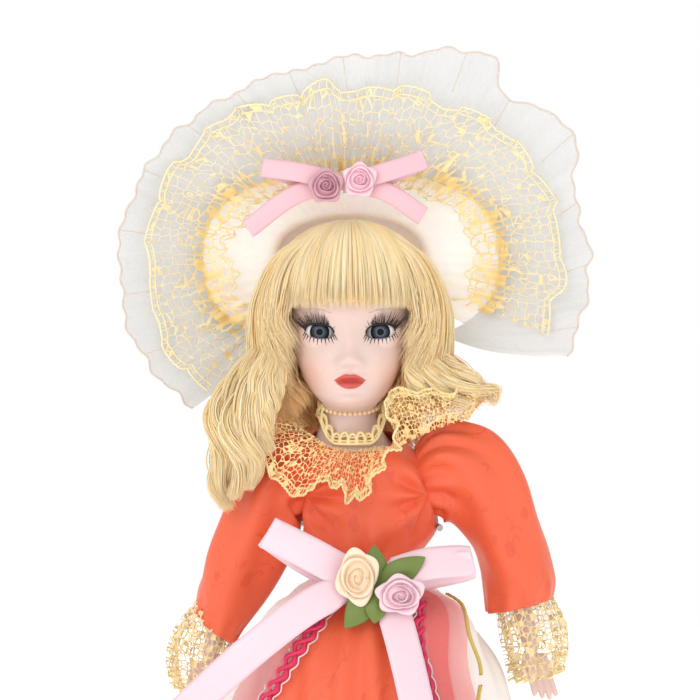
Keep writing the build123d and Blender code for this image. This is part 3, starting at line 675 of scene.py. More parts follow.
def lock_of(shape, path, count, spread, seed, tones, fray):
    """Strands that follow one path (steps, 3) as a lock of this spread in mm at each step."""
    pick = np.random.default_rng(seed)
    steps = len(path)
    thick = 0.13
    along = unit(np.gradient(path, axis=0))
    ref = np.array([0.0, 1.0, 0.2])
    across = unit(np.cross(along, ref))
    out = np.cross(across, along)
    angle, reach = pick.uniform(0, 2 * pi, count), np.sqrt(pick.uniform(0, 1, count))
    s = np.linspace(0, 1, steps)
    drift = pick.normal(0, fray, (count, 1, 3)) * s[None, :, None] ** 2
    paths = (path[None] + (np.cos(angle) * reach)[:, None, None] * across[None] * spread[None, :, None]
             + (np.sin(angle) * reach)[:, None, None] * out[None] * spread[None, :, None] + drift)
    radius = thick * np.clip(1.15 - s ** 3, 0.15, 1)[None, :]
    shade = pick.uniform(*tones, count)
    shape.tubes(paths, radius * pick.uniform(0.6, 1.2, (count, 1)), sides=4, tint=shade)


def hair_cap():
    """Dense hair close to the head, under the loose strands."""
    turn = np.linspace(0, 2 * pi, 220, endpoint=False)
    fall = np.linspace(0.02, 1.0, 60)
    turn, fall = np.meshgrid(turn, fall)
    front = np.cos(turn)
    limit = smooth(front.ravel(), [-1, -0.2, 0.25, 0.66, 0.75, 1.0],
                   [1.66, 1.6, 1.5, 1.05, 0.94, 0.935]).reshape(front.shape)
    streak = 0.35 * np.sin(turn * 57 + 3 * np.sin(turn * 5)) + 0.25 * np.sin(turn * 131)
    lift = -1.3 + 0.35 * streak * ramp(fall, 0.1, 0.6)
    points = over_head(turn, fall * limit, lift)
    low = ramp(fall * limit, 1.0, 1.66)
    points[..., 0] = HEAD_X + (points[..., 0] - HEAD_X) * (1 + 0.22 * low)
    # colour follows the streaks: darker where they lie low, painted shade in the grooves, along with tone
    # that varies round the head
    shade = np.clip(0.45 + 0.4 * streak + 0.2 * np.sin(turn * 23), 0, 1)
    shape = Shape().grid(points, tint=shade, around=True)
    shape.make("hair_cap", HAIR, "doll", nodes=["hair_crown", "hair_back"], slot="hair", thick=1.2)


def combed(name, count, turns, ends, lifts, seed, nodes=(), tones=(0.45, 1.0)):
    """Strands combed from the crown down over the head. turns, ends and lifts are ranges."""
    pick = np.random.default_rng(seed)
    turn = pick.uniform(*turns, count)
    end = pick.uniform(*ends, count)
    lift = pick.uniform(*lifts, count)
    clump = np.round(turn * 14) / 14
    s = np.linspace(0, 1, 18)[None, :]
    start = pick.uniform(0.0, 0.30, count)[:, None]
    fall = start + (end[:, None] - start) * s
    sway = (clump - turn)[:, None] * 0.5 * s ** 2 + pick.normal(0, 0.012, (count, 1)) * s
    wave = 0.25 * np.sin(fall * 9 + clump[:, None] * 40) * s
    paths = over_head(turn[:, None] + sway, fall, lift[:, None] * (0.4 + 0.6 * s) + wave)
    shade = np.clip(pick.uniform(*tones, count) + 0.06 * np.sin(clump * 77), 0, 1)
    shape = Shape()
    taper = np.clip(1.1 - s ** 4, 0.12, 1)
    shape.tubes(paths, 0.115 * taper * pick.uniform(0.6, 1.25, (count, 1)), sides=4, tint=shade)
    shape.make(name, HAIR, "doll", nodes=nodes, slot="hair")


def wavy_lock(shape, path, count, spread, seed):
    """Soft hanging wave: several sub-locks that wind loosely round one falling line."""
    steps, parts, windings = 44, 4, 1.6
    line = curve_points(path, steps)
    s = np.linspace(0, 1, steps)
    wide = np.interp(s, [0, 0.5, 1], spread)
    for part in range(parts):
        wind = 2 * pi * (windings * s + part / parts) + seed
        offset = 0.55 * wide[:, None] * np.stack([np.cos(wind), np.sin(wind), 0.25 * np.sin(wind)], -1)
        lock_of(shape, line + offset * np.minimum(1, 4 * s)[:, None], count // parts, wide * 0.6,
                seed * 7 + part, (0.35, 1.0), fray=0.5)


def side_lock(shape, path, count, spread, seed, tones=(0.3, 1.0)):
    """Straight lock combed along a path. spread is given at its start, middle and end."""
    steps = 26
    wide = np.interp(np.linspace(0, 1, steps), [0, 0.5, 1], spread)
    lock_of(shape, curve_points(path, steps), count, wide, seed, tones, fray=1.5)


def painted_shade_lock(shape, sign, start, end, bow, lean, strands, spread, seed, tones):
    """Lock under the others, bowed outward and leaning back, in dark tones that paint the shade the locks
    over it cast.
    """
    middle = (np.array(start) + np.array(end)) / 2 + np.array([sign * bow, lean, 0])
    side_lock(shape, [start, middle, end], strands, spread, seed, tones)


# hanging waves at the doll's right: path down the wave, spread at its start, middle and end
RIGHT_WAVES = [
    ([(-31, -8, 303), (-38, -12, 293), (-44.5, -14, 281), (-43, -15, 269), (-45, -15, 258),
      (-42, -15, 252.5)], (3.0, 4.6, 2.0)),
    ([(-29, -11, 301), (-35, -16, 289), (-40.5, -18, 277), (-37, -18.5, 266), (-40, -18, 256)],
     (3.0, 4.6, 1.8)),
    ([(-27, -13, 299), (-31.5, -18, 287), (-35.5, -19, 275), (-33, -19.5, 266), (-36, -19, 259)],
     (2.8, 4.2, 1.6)),
    ([(-25, -14, 296), (-29, -18, 286), (-31, -18.5, 277), (-29.5, -19, 270)], (2.6, 3.6, 1.4)),
    ([(-31, -4, 302), (-40, -7, 288), (-43, -9, 274), (-45, -9, 264), (-41, -9, 256)],
     (3.0, 4.4, 1.8))]
LEFT_WAVES = [
    ([(17, -10, 305), (20, -12, 297), (26, -13, 291), (34, -12.5, 288.5), (39, -11, 288.5),
      (38.5, -10, 284)], (2.6, 3.0, 1.2)),
    ([(16, -12, 302), (18.5, -13.5, 294), (24, -14, 287), (31, -13, 284)], (2.4, 3.0, 1.4)),
    ([(19, -6, 304), (25, -9, 296), (33, -11, 291), (37.5, -10, 286)], (2.6, 3.0, 1.2)),
    ([(13, -13, 298), (15, -14.5, 291), (18, -15, 284)], (2.0, 2.8, 1.4))]
# locks beside the face: turn round the head, then where each ends: x and z
SIDE_LOCKS = [(0.90, 18.4, 302.0), (1.00, 19.6, 296.0), (1.12, 20.4, 290.0), (1.28, 22.2, 286.0),
              (1.46, 24.0, 284.0), (1.6, 25.5, 288.0)]


def make_wig():
    """Cap, combed hair, locks beside the face, hanging waves, and strands under them whose darker tones
    paint the shade there.
    """
    hair_cap()
    combed("hair_top", 2300, (0, 2 * pi), (0.86, 0.93), (-0.9, 0.5), 2)
    combed("fringe", 2600, (-0.86, 0.86), (0.925, 0.99), (-1.6, 0.9), 3, ["hair_fringe"], (0.5, 1.0))
    combed("hair_rear", 1700, (1.7, 2 * pi - 1.7), (1.45, 1.66), (-0.9, 0.6), 4)
    for side, sign in (("left", 1), ("right", -1)):
        locks = Shape()
        for k, (turn, foot_x, foot_z) in enumerate(SIDE_LOCKS):
            top, high, mid = (over_head(sign * turn, fall, lift)
                              for fall, lift in ((0.36, -1.2), (0.64, 0.0), (0.92, 0.6)))
            foot = np.array([HEAD_X + sign * foot_x, -18.0 + 3.0 * k, foot_z])
            waist = (mid + foot) / 2 + np.array([sign * 2.0, -0.4, 0])
            side_lock(locks, [top, high, mid, waist, foot], 300, (1.2, 3.8, 2.6), 20 + k + 10 * sign)
        locks.make("side_lock_" + side, HAIR, "doll", nodes=["hair_side_" + side], slot="hair")
    for name, node, waves_of, strands, first_seed in (
            ("ringlets_viewer_left", "ringlets_right", RIGHT_WAVES, 420, 50),
            ("curls_viewer_right", "ringlets_left", LEFT_WAVES, 260, 70)):
        curls = Shape()
        for k, (path, spread) in enumerate(waves_of):
            wavy_lock(curls, path, strands, spread, first_seed + k)
        curls.make(name, HAIR, "doll", nodes=[node], slot="hair")
    inner = Shape()
    # dark tones (0 to 0.6): painted shade beside the face and jaw, under the side locks
    for k in range(14):
        sign = -1 if k % 2 else 1
        start = (HEAD_X + sign * random.uniform(16, 20), random.uniform(-9, 0), random.uniform(298, 306))
        end = (HEAD_X + sign * random.uniform(13, 26), random.uniform(-11, -3), random.uniform(278, 286))
        painted_shade_lock(inner, sign, start, end, random.uniform(1, 5), -1, 130, (2.4, 3.4, 1.6), 90 + k,
                   (0.0, 0.6))
    # darkest tones (0 to 0.35): painted shade behind the neck, under the hair
    for k in range(26):
        sign = -1 if k % 2 else 1
        start = (HEAD_X + sign * random.uniform(2, 17), random.uniform(9, 15), 300)
        end = (HEAD_X + sign * random.uniform(2, 24), random.uniform(11, 15), random.uniform(268, 276))
        painted_shade_lock(inner, sign, start, end, random.uniform(0, 3), 1, 110, (3.0, 4.0, 2.4), 120 + k,
                   (0.0, 0.35))
    # dark tones (0 to 0.6): painted shade beside the jaw, under the locks
    for k in range(6):
        foot = (20 + 3.2 * k, random.uniform(-7, -2), 281 + 0.9 * k)
        side_lock(inner, [(15 + k, -3, 301), (18 + 2.4 * k, -4, 292), foot], 130, (2.4, 3.6, 1.8), 160 + k,
                  (0.0, 0.6))
    inner.make("hair_beside_jaw", HAIR, "doll", slot="hair")


make_wig()


# ---------------------------------------------------------------- bonnet
BONNET_X, BONNET_Z = -4.7, 329.0
GATHER_X, GATHER_Z = 46.5, 27.0            # half width and height of the gathered seam
EDGE_X, EDGE_Z = 71.0, 64.5                # and of the brim's edge
SEAM_Y, EDGE_Y = 8.0, -4.0
NAPE_START, NAPE_END = radians(-24), radians(222)


def brim_at(turn, share, forward=0.0):
    """Point on the brim: turn is measured from the doll's left over the top, share from the seam."""
    turn, share = np.broadcast_arrays(np.asarray(turn, float), np.asarray(share, float))
    half_x, half_z = (a + (b - a) * share for a, b in ((GATHER_X, EDGE_X), (GATHER_Z, EDGE_Z)))
    power = 2.5 - 0.45 * np.clip(share, 0, 1)
    reach = (np.abs(np.cos(turn) / half_x) ** power + np.abs(np.sin(turn) / half_z) ** power) ** (-1 / power)
    return np.stack([BONNET_X + 1.5 * share + reach * np.cos(turn),
                     SEAM_Y + (EDGE_Y - SEAM_Y) * share - forward,
                     BONNET_Z - 1.5 * share + reach * np.sin(turn)], -1)


# how far the brim's edge stands out round it: degrees from the doll's left over the top, share
EDGE_FORM = np.array([(-30, 1.01), (0, 1.015), (21.5, 1.03), (26, 1.09), (38, 1.085), (51, 1.045),
                      (55.5, 1.13), (62, 1.115), (76, 1.02), (93, 0.975), (123, 0.955), (150, 1.0),
                      (181, 1.03), (205, 1.02), (226, 0.97)])


def make_brim():
    """Stiff organza brim of two layers, with soft uneven folds and a rolled edge."""
    rows, cols = 26, 1300
    t = np.linspace(0, 1, cols)[None, :]
    s = np.linspace(0, 1, rows)[:, None]
    start = NAPE_START - radians(16) * (1 - s) ** 1.2
    turn = start + (NAPE_END + radians(4) * (1 - s) - start) * t
    form = smooth(np.degrees(turn), EDGE_FORM[:, 0], EDGE_FORM[:, 1])
    ragged = form + 0.010 * np.sin(turn * 23 + 2 * np.sin(turn * 5)) + 0.006 * np.sin(turn * 61)
    points = brim_at(turn, s)
    middle = np.array([BONNET_X, 0, BONNET_Z])
    points = middle + (points - middle) * np.stack([1 + (ragged - 1) * s, np.ones_like(turn),
                                                    1 + (ragged - 1) * s], -1)
    fold = waves(t, 47, 61, 0.5) + 0.5 * waves(t, 83, 62, 0.5)
    flutter = 2.0 * waves(t, 9, 5, 0.5) * s ** 2
    points[..., 1] += 0.09 * (0.7 + s) * fold + 0.5 * flutter
    shape = Shape().grid(points, flat_of(points))
    brim = shape.make("brim_organza", ORGANZA, "bonnet", nodes=["bonnet_brim"], slot="organza")
    second = points.copy()
    second[..., 1] += 1.0 + 0.4 * np.roll(fold, 9, axis=1)
    under = Shape().grid(second[:, ::-1], flat_of(second))
    back = under.make("brim_organza_back", ORGANZA, "bonnet", slot="organza")
    hem = Shape().tubes(points[-1][::2], 0.26, sides=4)
    hem.tubes(brim_crease(points), 0.12, sides=4)
    hem = hem.make("brim_rolled_edge", PEACH_EDGE, "bonnet", slot="organza")
    cloth(shape, BRIM_CUT)
    cloth(under, BRIM_CUT)


def brim_crease(points):
    """Creases where the two layers are caught together, a few short lines near the edge."""
    picks = np.arange(40, points.shape[1] - 40, 83)
    return np.stack([points[-9:, k] for k in picks])


def make_crown():
    """Cream satin: the lining that faces forward round the head, then the bowl behind it."""
    rows, cols = 44, 420
    t = np.linspace(0, 1, cols)[None, :]
    turn = NAPE_START - 0.10 + (NAPE_END - NAPE_START + 0.20) * t
    v = np.linspace(0, 1, rows)[:, None]
    knots = [0, 0.22, 0.42, 0.58, 0.82, 1.0]
    size = smooth(v, knots, [1.0, 0.83, 0.64, 0.505, 0.46, 0.015])
    depth = smooth(v, knots, [8.0, 8.4, 9.0, 10.8, 30.0, 42.0])
    ring = brim_at(turn, 0.0)
    points = np.empty((rows, cols, 3))
    points[..., 0] = BONNET_X + (ring[..., 0] - BONNET_X) * size
    points[..., 2] = BONNET_Z + (ring[..., 2] - BONNET_Z) * size
    gather = 0.28 * np.sin(turn * 58 + np.sin(turn * 7)) * np.exp(-v * 3)
    gather = gather + 0.5 * np.sin(turn * 24) * ramp(v, 0.6, 1.0)
    points[..., 1] = depth + gather
    gathered("crown_satin", points, LINING, "bonnet", 90.0, ["hair_cap"], nodes=["bonnet_crown"],
             slot="cream_satin", thick=0.5)


def make_bonnet_lace():
    """Lace frill: a scalloped outer part, the gathered seam and a small ruffle inside it."""
    cols, outer_rows, header_rows = 1500, 30, 12
    t = np.linspace(0, 1, cols)[None, :]
    turn = NAPE_START + 0.03 + (NAPE_END - NAPE_START - 0.06) * t
    wide = 0.66 + 0.075 * np.abs(np.sin(turn * 12 + 0.8 * np.sin(turn * 3))) + 0.035 * waves(t, 9, 21)
    s = np.linspace(0, 1, outer_rows)[:, None]
    side = np.abs(np.cos(turn))
    sway = 0.024 * waves(t, 23, 22) * ramp(s, 0.1, 0.9)
    outer = brim_at(turn + sway, 0.02 + (wide - 0.02) * s, 2.2)
    folds = waves(t, 44, 23, 0.3)
    outer[..., 1] -= (1.2 * (1 - s) ** 1.5 + 0.22) * (1 + folds) + 1.1 * s * (1 + waves(t, 13, 24))
    header = np.linspace(1, 0, header_rows)[:-1, None]
    reach = (3.2 + 6.0 * side ** 1.5) * header * (1 + 0.16 * waves(t, 13, 25) + 0.08 * waves(t, 37, 27))
    base = brim_at(turn, 0.02, 2.2)
    inward = unit(np.stack([BONNET_X - base[..., 0], 0 * base[..., 1], BONNET_Z - base[..., 2]], -1))
    ruffle = base + inward * reach[..., None]
    ruffle[..., 1] -= 1.2 * header * (1.6 + waves(t, 38, 26)) + 0.5 * (1 + folds)
    points = np.concatenate([ruffle, outer])
    rows = np.concatenate([-header * 9.0, s * 22.0])
    u = line_length(outer[-1]) * 1.12
    flat = np.stack(np.broadcast_arrays(u[None, :], rows), -1)
    shade = np.concatenate([0.20 + 0.45 * (1 - header) ** 2, 0.62 * np.clip(1 - 4.6 * s, 0, 1)])
    shade = shade + 0.10 * (1 + folds) * np.concatenate([header, np.clip(1 - 1.8 * s, 0, 1)])
    shape = Shape().grid(points, flat, tint=np.clip(shade, 0, 1))
    frill = shape.make("bonnet_lace_frill", BONNET_LACE, "bonnet", nodes=["bonnet_lace"], slot="gold_lace")
    border = Shape()
    zigzag = np.arange(cols)
    for row, size in ((-1, 0.32), (-4, 0.26)):
        line = outer[row] + np.stack([0 * zigzag, -0.15 + 0 * zigzag, 0.07 * np.sin(zigzag * 0.9)], -1)
        border.tubes(line, size, sides=4)
    border.tubes(ruffle[0] - [0, 0.1, 0], 0.26, sides=4)
    tips, roots = outer[-1, ::15], outer[-4, ::15]
    between = (outer[-1, 7::15][:len(tips)] + roots) / 2
    border.tubes(np.stack([tips, between, roots], 1), 0.11, sides=4)
    cords = border.make("bonnet_lace_cords", PALE_CORD, "bonnet", slot="gold_lace")
    cloth(shape, LACE_CUT)


def ribbon(shape, path, width, face, curl, ends=(1.0, 1.0)):
    """Ribbon along a path. face is the way its flat side looks, one or a list along the path."""
    rows, count = 9, 60
    line = curve_points(path, count)
    face = np.atleast_2d(np.asarray(face, float))
    if len(face) > 1:
        face = unit(curve_points(face, count) if len(face) > 2 else
                    face[0] + (face[1] - face[0]) * np.linspace(0, 1, count)[:, None])
    along = unit(np.gradient(line, axis=0))
    across = unit(np.cross(along, face))
    out = unit(np.cross(across, along))
    s = np.linspace(-1, 1, rows)[:, None, None]
    full = np.interp(np.linspace(0, 1, count), [0, 0.12, 0.88, 1], [ends[0], 1, 1, ends[1]])
    points = (line[None] + across[None] * s * width / 2 * full[None, :, None]
              - out[None] * curl * (s ** 2) * full[None, :, None])
    shape.grid(points, flat_of(points))


def rose(node, centre, radius, material, slot, body, seed, tall=1.0, turns=2.3, petals=5):
    """Folded ribbon rose: a rolled heart inside loose petals whose rims turn out to a point."""
    pick = np.random.default_rng(seed)
    shape = Shape()

    def petal(start, sweep, inner, outer, back, front, tip):
        t = np.linspace(0, 1, 40)[None, :]
        v = np.linspace(0, 1, 12)[:, None]
        turn = start + sweep * t
        point = np.exp(-((t - 0.5) / 0.16) ** 2)
        r = inner + (outer - inner) * v ** 0.7 + tip * point * ramp(v, 0.5, 1.0)
        r = r * (1 - 0.25 * (2 * np.abs(t - 0.5)) ** 3 * v)
        depth = back + (front - back) * (v ** 0.6) - 0.20 * radius * ramp(v, 0.72, 1.0)
        depth = depth * (1 - 0.30 * (2 * np.abs(t - 0.5)) ** 2)
        shape.grid(np.stack([r * np.cos(turn), -depth, r * tall * np.sin(turn)], -1) + np.asarray(centre),
                   np.stack(np.broadcast_arrays(t * sweep * outer, v * (outer + front)), -1))

    turn = np.linspace(0, 2 * pi * turns, 200)[None, :]
    v = np.linspace(0, 1, 10)[:, None]
    grow = turn / (2 * pi * turns)
    r = radius * (0.07 + 0.40 * grow) * (1 + 0.10 * np.cos(2.6 * turn)) * (0.7 + 0.35 * v)
    depth = radius * (0.15 + (1.02 - 0.22 * grow) * v + 0.10 * np.sin(1.3 * turn) * v)
    heart = np.stack([r * np.cos(turn), -depth, r * tall * np.sin(turn)], -1) + np.asarray(centre)
    shape.grid(heart, flat_of(heart))
    share = np.linspace(0.02, 1, 12)[:, None]
    turn = np.linspace(0, 2 * pi, 25)[None, :]
    r = radius * 0.74 * share * (1 + 0 * turn)
    under = np.stack([r * np.cos(turn), -radius * (0.92 - 0.62 * share ** 1.3 + 0 * turn),
                      r * tall * np.sin(turn)], -1) + np.asarray(centre)
    shape.grid(under, flat_of(under))
    for ring, (inner, outer, front, tip) in enumerate(((0.40, 0.66, 0.92, 0.08), (0.46, 0.86, 0.70, 0.15))):
        count = petals - 2 + 2 * ring
        for k in range(count):
            start = 2 * pi * (k + 0.5 * ring) / count + pick.uniform(-0.25, 0.25)
            petal(start, 2 * pi / count * 1.55, radius * inner, radius * outer, radius * 0.08,
                  radius * (front + pick.uniform(-0.06, 0.06)), radius * tip)
    shape.make(node + "_ribbon", material, body, nodes=[node], slot=slot, thick=0.16)


def make_bonnet_bow():
    """Pink bow in front of the lace: two loops, two tails and two roses at the knot."""
    y, wide = -6.2, 6.0
    knot = np.array([-7.5, y, 351.5])
    shape = Shape()
    left, right = (-32.0, y - 1.0, 356.5), (18.0, y - 1.0, 359.0)
    for tip, dip in ((left, 0.6), (right, -0.6)):
        tip = np.array(tip)
        middle = (knot + tip) / 2
        ribbon(shape, [knot, middle + [0, -2.4, dip], tip], wide, (0, -1, 0.12), 0.3, (0.55, 1))
        ribbon(shape, [tip, middle + [0, 1.6, dip - 1.0], knot + [0, 1.0, 0]], wide, (0, -1, -0.1), 0.2)
    for bend, tail, rise in (((-12, -1.6, -2.5), (-36.5, y - 0.6, 337.5), 0.05),
                             ((12, -1.8, -2.0), (17.5, y - 0.6, 341.5), 0.1)):
        ribbon(shape, [knot, knot + bend, tail], wide, (0, -1, rise), 0.35, (0.6, 1))
    bow = shape.make("bonnet_bow_ribbon", HAT_RIBBON, "bonnet", nodes=["bonnet_bow"], slot="pink_satin",
                     thick=0.15)
    cloth(shape, RIBBON_CUT)
    rose("rose_mauve", (-12.2, -8.2, 350.4), 5.6, MAUVE_RIBBON, "mauve_ribbon", "bonnet", seed=3)
    rose("rose_blush", (-2.0, -8.2, 352.2), 5.6, BLUSH_RIBBON, "pink_satin", "bonnet", seed=8)


make_brim()
make_crown()
make_bonnet_lace()
make_bonnet_bow()


# ---------------------------------------------------------------- dress
HEM_Z, WAIST_Z = (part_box("petticoat")[k][2] / MM for k in (0, 1))
SKIRT_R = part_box("petticoat")[1][0] / MM
ARM = {"left": 1, "right": -1}


def drop_at(z):
    """How far down the skirt a height is: 0 at the waist, 1 at the hem."""
    return (WAIST_Z - np.asarray(z, float)) / (WAIST_Z - HEM_Z)


def bell(z):
    """Radius of the skirt's innermost layer at a height, in mm."""
    return (SKIRT_R - 0.8) * smooth(drop_at(z), [0, 0.047, 0.109, 0.187, 0.316, 0.523, 0.731, 0.912, 1.0],
                                          [0.186, 0.289, 0.398, 0.488, 0.620, 0.783, 0.904, 0.976, 1.0])


def skirt_folds(turn, z):
    """Folds and fullness that every layer of the skirt shares, in mm. It puffs out below the waist
    in front of the arms and behind them."""
    deep = 0.5 + 3.4 * ramp(drop_at(z), 0.0, 0.8)
    around = np.abs(turn)
    clear = ramp(around, 0.25, 0.7) * (1 - ramp(around, 0.95, 1.2)) + ramp(around, 1.95, 2.4)
    below = WAIST_Z - np.asarray(z, float)
    puff = (10.0 - 4.5 * ramp(around, 1.5, 2.0)) * np.exp(-((z - 221.0) / 12.0) ** 2) * clear
    puff = puff * ramp(below, 0.0, 6.5) - 3.0 * (1 - ramp(below, 0.0, 5.0))
    full = 3.2 * np.exp(-((z - 203.0) / 13.0) ** 2) * ramp(around, 0.5, 0.9) * (1 - ramp(around, 1.5, 2.2))
    folds = (0.55 * np.sin(17 * turn + 1.1 * np.sin(3 * turn)) + 0.3 * np.sin(29 * turn + 2.0)
             + 0.2 * np.sin(7 * turn))
    return puff + full + deep * folds


def on_skirt(turn, z, offset, more=0.0):
    """Points this far outside the skirt's innermost layer."""
    return round_axis(bell(z) + offset + skirt_folds(turn, z) + more, turn, z)


def skirt_sheet(start, end, top, bottom, offset, cols, ripple=None):
    """Sheet of the skirt. start and end give turns from the front, in radians, at a height."""
    z = np.linspace(top, bottom, 90)[:, None]
    turn = start(z) + (end(z) - start(z)) * np.linspace(0, 1, cols)[None, :]
    return on_skirt(turn, z, offset, ripple(turn, z) if ripple else 0.0)


def panel_left_edge(z):
    """Edge of the coral front panel at the doll's left, as a turn from the front."""
    return smooth(z, [HEM_Z, 150, 195, 222, WAIST_Z], [0.40, 0.41, 0.42, 0.48, 0.66])


def panel_right_edge(z):
    """Edge of the coral front panel at the doll's right."""
    return -smooth(z, [HEM_Z, 150, 195, 209, 222, WAIST_Z], [0.88, 0.84, 0.72, 0.57, 0.42, 0.40])


def pleats(turn, z):
    """Finer folds of the front panel and the sheer ones, on top of the skirt's own."""
    return (0.35 + 0.9 * ramp(drop_at(z), 0.0, 0.35)) * np.sin(26 * turn + 0.9 * np.sin(5 * turn)) + 1.4


def make_hem_lace():
    """Scalloped lace sewn round the petticoat's hem, with a cord along its edge."""
    top, offset = HEM_Z + 6.0, 0.6
    turn = np.linspace(-pi, pi, 1100)[None, :]
    s = np.linspace(0, 1, 10)[:, None]
    z = top - s * (9.0 + 1.6 * np.abs(np.sin(turn * 34)))
    r = bell(top) + offset + skirt_folds(turn, top) + s * (0.6 + 0.9 * np.sin(turn * 68))
    points = round_axis(r, turn, z)
    shape = Shape().grid(points, flat_of(points))
    obj = shape.make("petticoat_lace", HEM_LACE, "doll", slot="gold_lace")
    cord = Shape().tubes(points[-1], 0.3, sides=4).make("petticoat_lace_cord", LACE_CORD, "doll",
                                                        slot="gold_lace")
    cloth(shape, 12.0)


def placket(z):
    """Half the opening at the back of the waist, as a turn; the stand's rod comes out of it."""
    return 3.4 / (bell(z) + 5.0) * ramp(z, 196, 204)


def make_skirt():
    """Petticoat, overskirt, coral front panel and the sheer ones beside it, from the inside out."""
    full = (lambda z: -pi + placket(z), lambda z: pi - placket(z))
    gathered("petticoat_cotton", skirt_sheet(*full, WAIST_Z, HEM_Z, 0.4, 520), COTTON, "doll", SKIRT_CUT,
             ["torso_cloth"], nodes=["petticoat"], slot="cotton", thick=0.3)
    make_hem_lace()
    gathered("overskirt_satin", skirt_sheet(*full, WAIST_Z, HEM_Z + 4, 1.6, 560), CREAM, "doll",
             SKIRT_CUT, ["petticoat_cotton"], nodes=["overskirt"], slot="cream_satin", thick=0.3)
    front = skirt_sheet(panel_right_edge, lambda z: panel_left_edge(z) + 0.22, WAIST_Z + 1.5, HEM_Z + 3,
                        2.2, 560, pleats)
    gathered("front_panel_taffeta", front, TAFFETA, "doll", SKIRT_CUT, ["overskirt_satin"],
             nodes=["front_panel"], slot="taffeta", thick=0.3)
    for side, inner, width in (("left", panel_left_edge, 0.33), ("right", panel_right_edge, -0.26)):
        sheer_panel = skirt_sheet(inner, lambda z: inner(z) + width, WAIST_Z, HEM_Z + 6, 4.1, 150, pleats)
        gathered("sheer_organza_" + side, sheer_panel, SHEER_CORAL, "doll", SKIRT_CUT,
                 ["overskirt_satin"], nodes=["sheer_panel_" + side], slot="sheer")
    make_gold_cord()
    make_braid("left", panel_left_edge)
    make_braid("right", panel_right_edge)


def make_gold_cord():
    """Twisted gold cord that edges the overskirt beside the sheer panel."""
    lay = 2.2                          # mm along the cord for one twist
    for name, top, bottom in (("gold_cord_upper", WAIST_Z - 4, 205.0),
                              ("gold_cord_lower", 202.0, HEM_Z + 6)):
        z = np.linspace(top, bottom, int((top - bottom) * 4))
        turn = panel_left_edge(z) + 0.37 + 0.04 * np.sin(z * 0.25)
        line = on_skirt(turn, z, 5.6)
        side = np.stack([np.cos(turn), np.sin(turn), 0 * z], -1)
        out = np.stack([np.sin(turn), -np.cos(turn), 0 * z], -1)
        shape = Shape()
        for phase in (0, 2 * pi / 3, 4 * pi / 3):
            wind = 2 * pi * z / lay + phase
            path = line + 0.34 * (np.cos(wind)[:, None] * side + np.sin(wind)[:, None] * out)
            shape.tubes(path, 0.33, sides=5)
        shape.make(name, GOLD, "doll", nodes=[name], slot="gold_cord")


def make_braid(side, edge):
    """Pink chain braid with silver scallops, from the waist to the hem."""
    top, bottom, pitch = WAIST_Z - 4.0, HEM_Z + 5, 4.6
    z = np.linspace(top, bottom, 1500)
    centre = on_skirt(edge(z), z, 5.3)
    along = unit(np.gradient(centre, axis=0))
    out = unit(np.stack([centre[:, 0], centre[:, 1], 0 * z], -1))
    across = unit(np.cross(along, out))
    length = line_length(centre)
    wave = 2 * pi * length / pitch
    pink, silver = Shape(), Shape()
    for sign in (1, -1):
        swing = sign * 1.25 * np.sin(wave / 2)
        lift = 0.5 * np.cos(wave / 2) * sign
        pink.tubes(centre + across * swing[:, None] + out * (0.5 + lift)[:, None], 0.62, sides=6)
        pink.tubes(centre + across * (swing * 1.5)[:, None] + out * (0.3 + lift * 0.6)[:, None], 0.42,
                   sides=5)
        edge_line = sign * (1.9 + 0.85 * np.abs(np.sin(wave / 2)))
        silver.tubes(centre + across * edge_line[:, None] + out * (0.35 + 0.2 * np.cos(wave))[:, None],
                     0.28, sides=5)
    name = "braid_" + side
    pink.make(name + "_pink", BRAID_PINK, "doll", nodes=[name], slot="braid")
    silver.make(name + "_silver", BRAID_SILVER, "doll", slot="braid")


def make_bodice():
    """Taffeta bodice with folds that run up from the waist and down from the shoulders."""
    rows, cols = 90, 260
    turn = np.linspace(-pi, pi, cols)[None, :]
    top = 275.0 - 5.6 * np.clip(np.cos(turn), 0, 1) ** 1.5
    z = 229.0 + (top - 229.0) * np.linspace(0, 1, rows)[:, None]
    knots = [229, 233, 238, 245, 256, 265, 270, 275.5]
    half_x = smooth(z, knots, [15.6, 16.2, 18.0, 20.2, 21.5, 21.8, 17.2, 11.6])
    half_y = smooth(z, knots, [13.6, 14.2, 14.8, 15.4, 15.3, 14.4, 12.2, 10.4])
    lean = -4.0 * ramp(z, 262, 275)
    ray = np.arctan2(np.sin(turn) * 20.0, z - 226.0)
    fold = (1.0 * np.sin(11 * ray + 0.6 * np.sin(5 * ray)) * ramp(z, 260, 238)
            + 0.9 * np.sin(4 * turn - 0.20 * (z - 245)) * np.exp(-((z - 249) / 9) ** 2)
            + 0.25 * np.sin(24 * turn) * ramp(z, 238, 229))
    for sign in (1, -1):
        run, rise = 18.5 - sign * half_x * np.sin(turn), z - 256.0
        away = np.hypot(run, rise)
        fold = fold + (1.35 * np.sin(7 * np.arctan2(rise, run) + 1.2 * sign)
                       * np.exp(-((away - 7) / 7.5) ** 2) * (1 - np.exp(-(away / 3) ** 2)))
    x = lean + (half_x + fold) * np.sin(turn)
    y = -(half_y + fold) * np.cos(turn)
    points = np.stack([x, y, z + 0 * turn], -1)
    shape = Shape().grid(points, np.stack(np.broadcast_arrays(turn * 20.0, z), -1))
    obj = shape.make("bodice_taffeta", TAFFETA, "doll", nodes=["bodice"], slot="taffeta", thick=0.35)
    cloth(shape, 55.0)


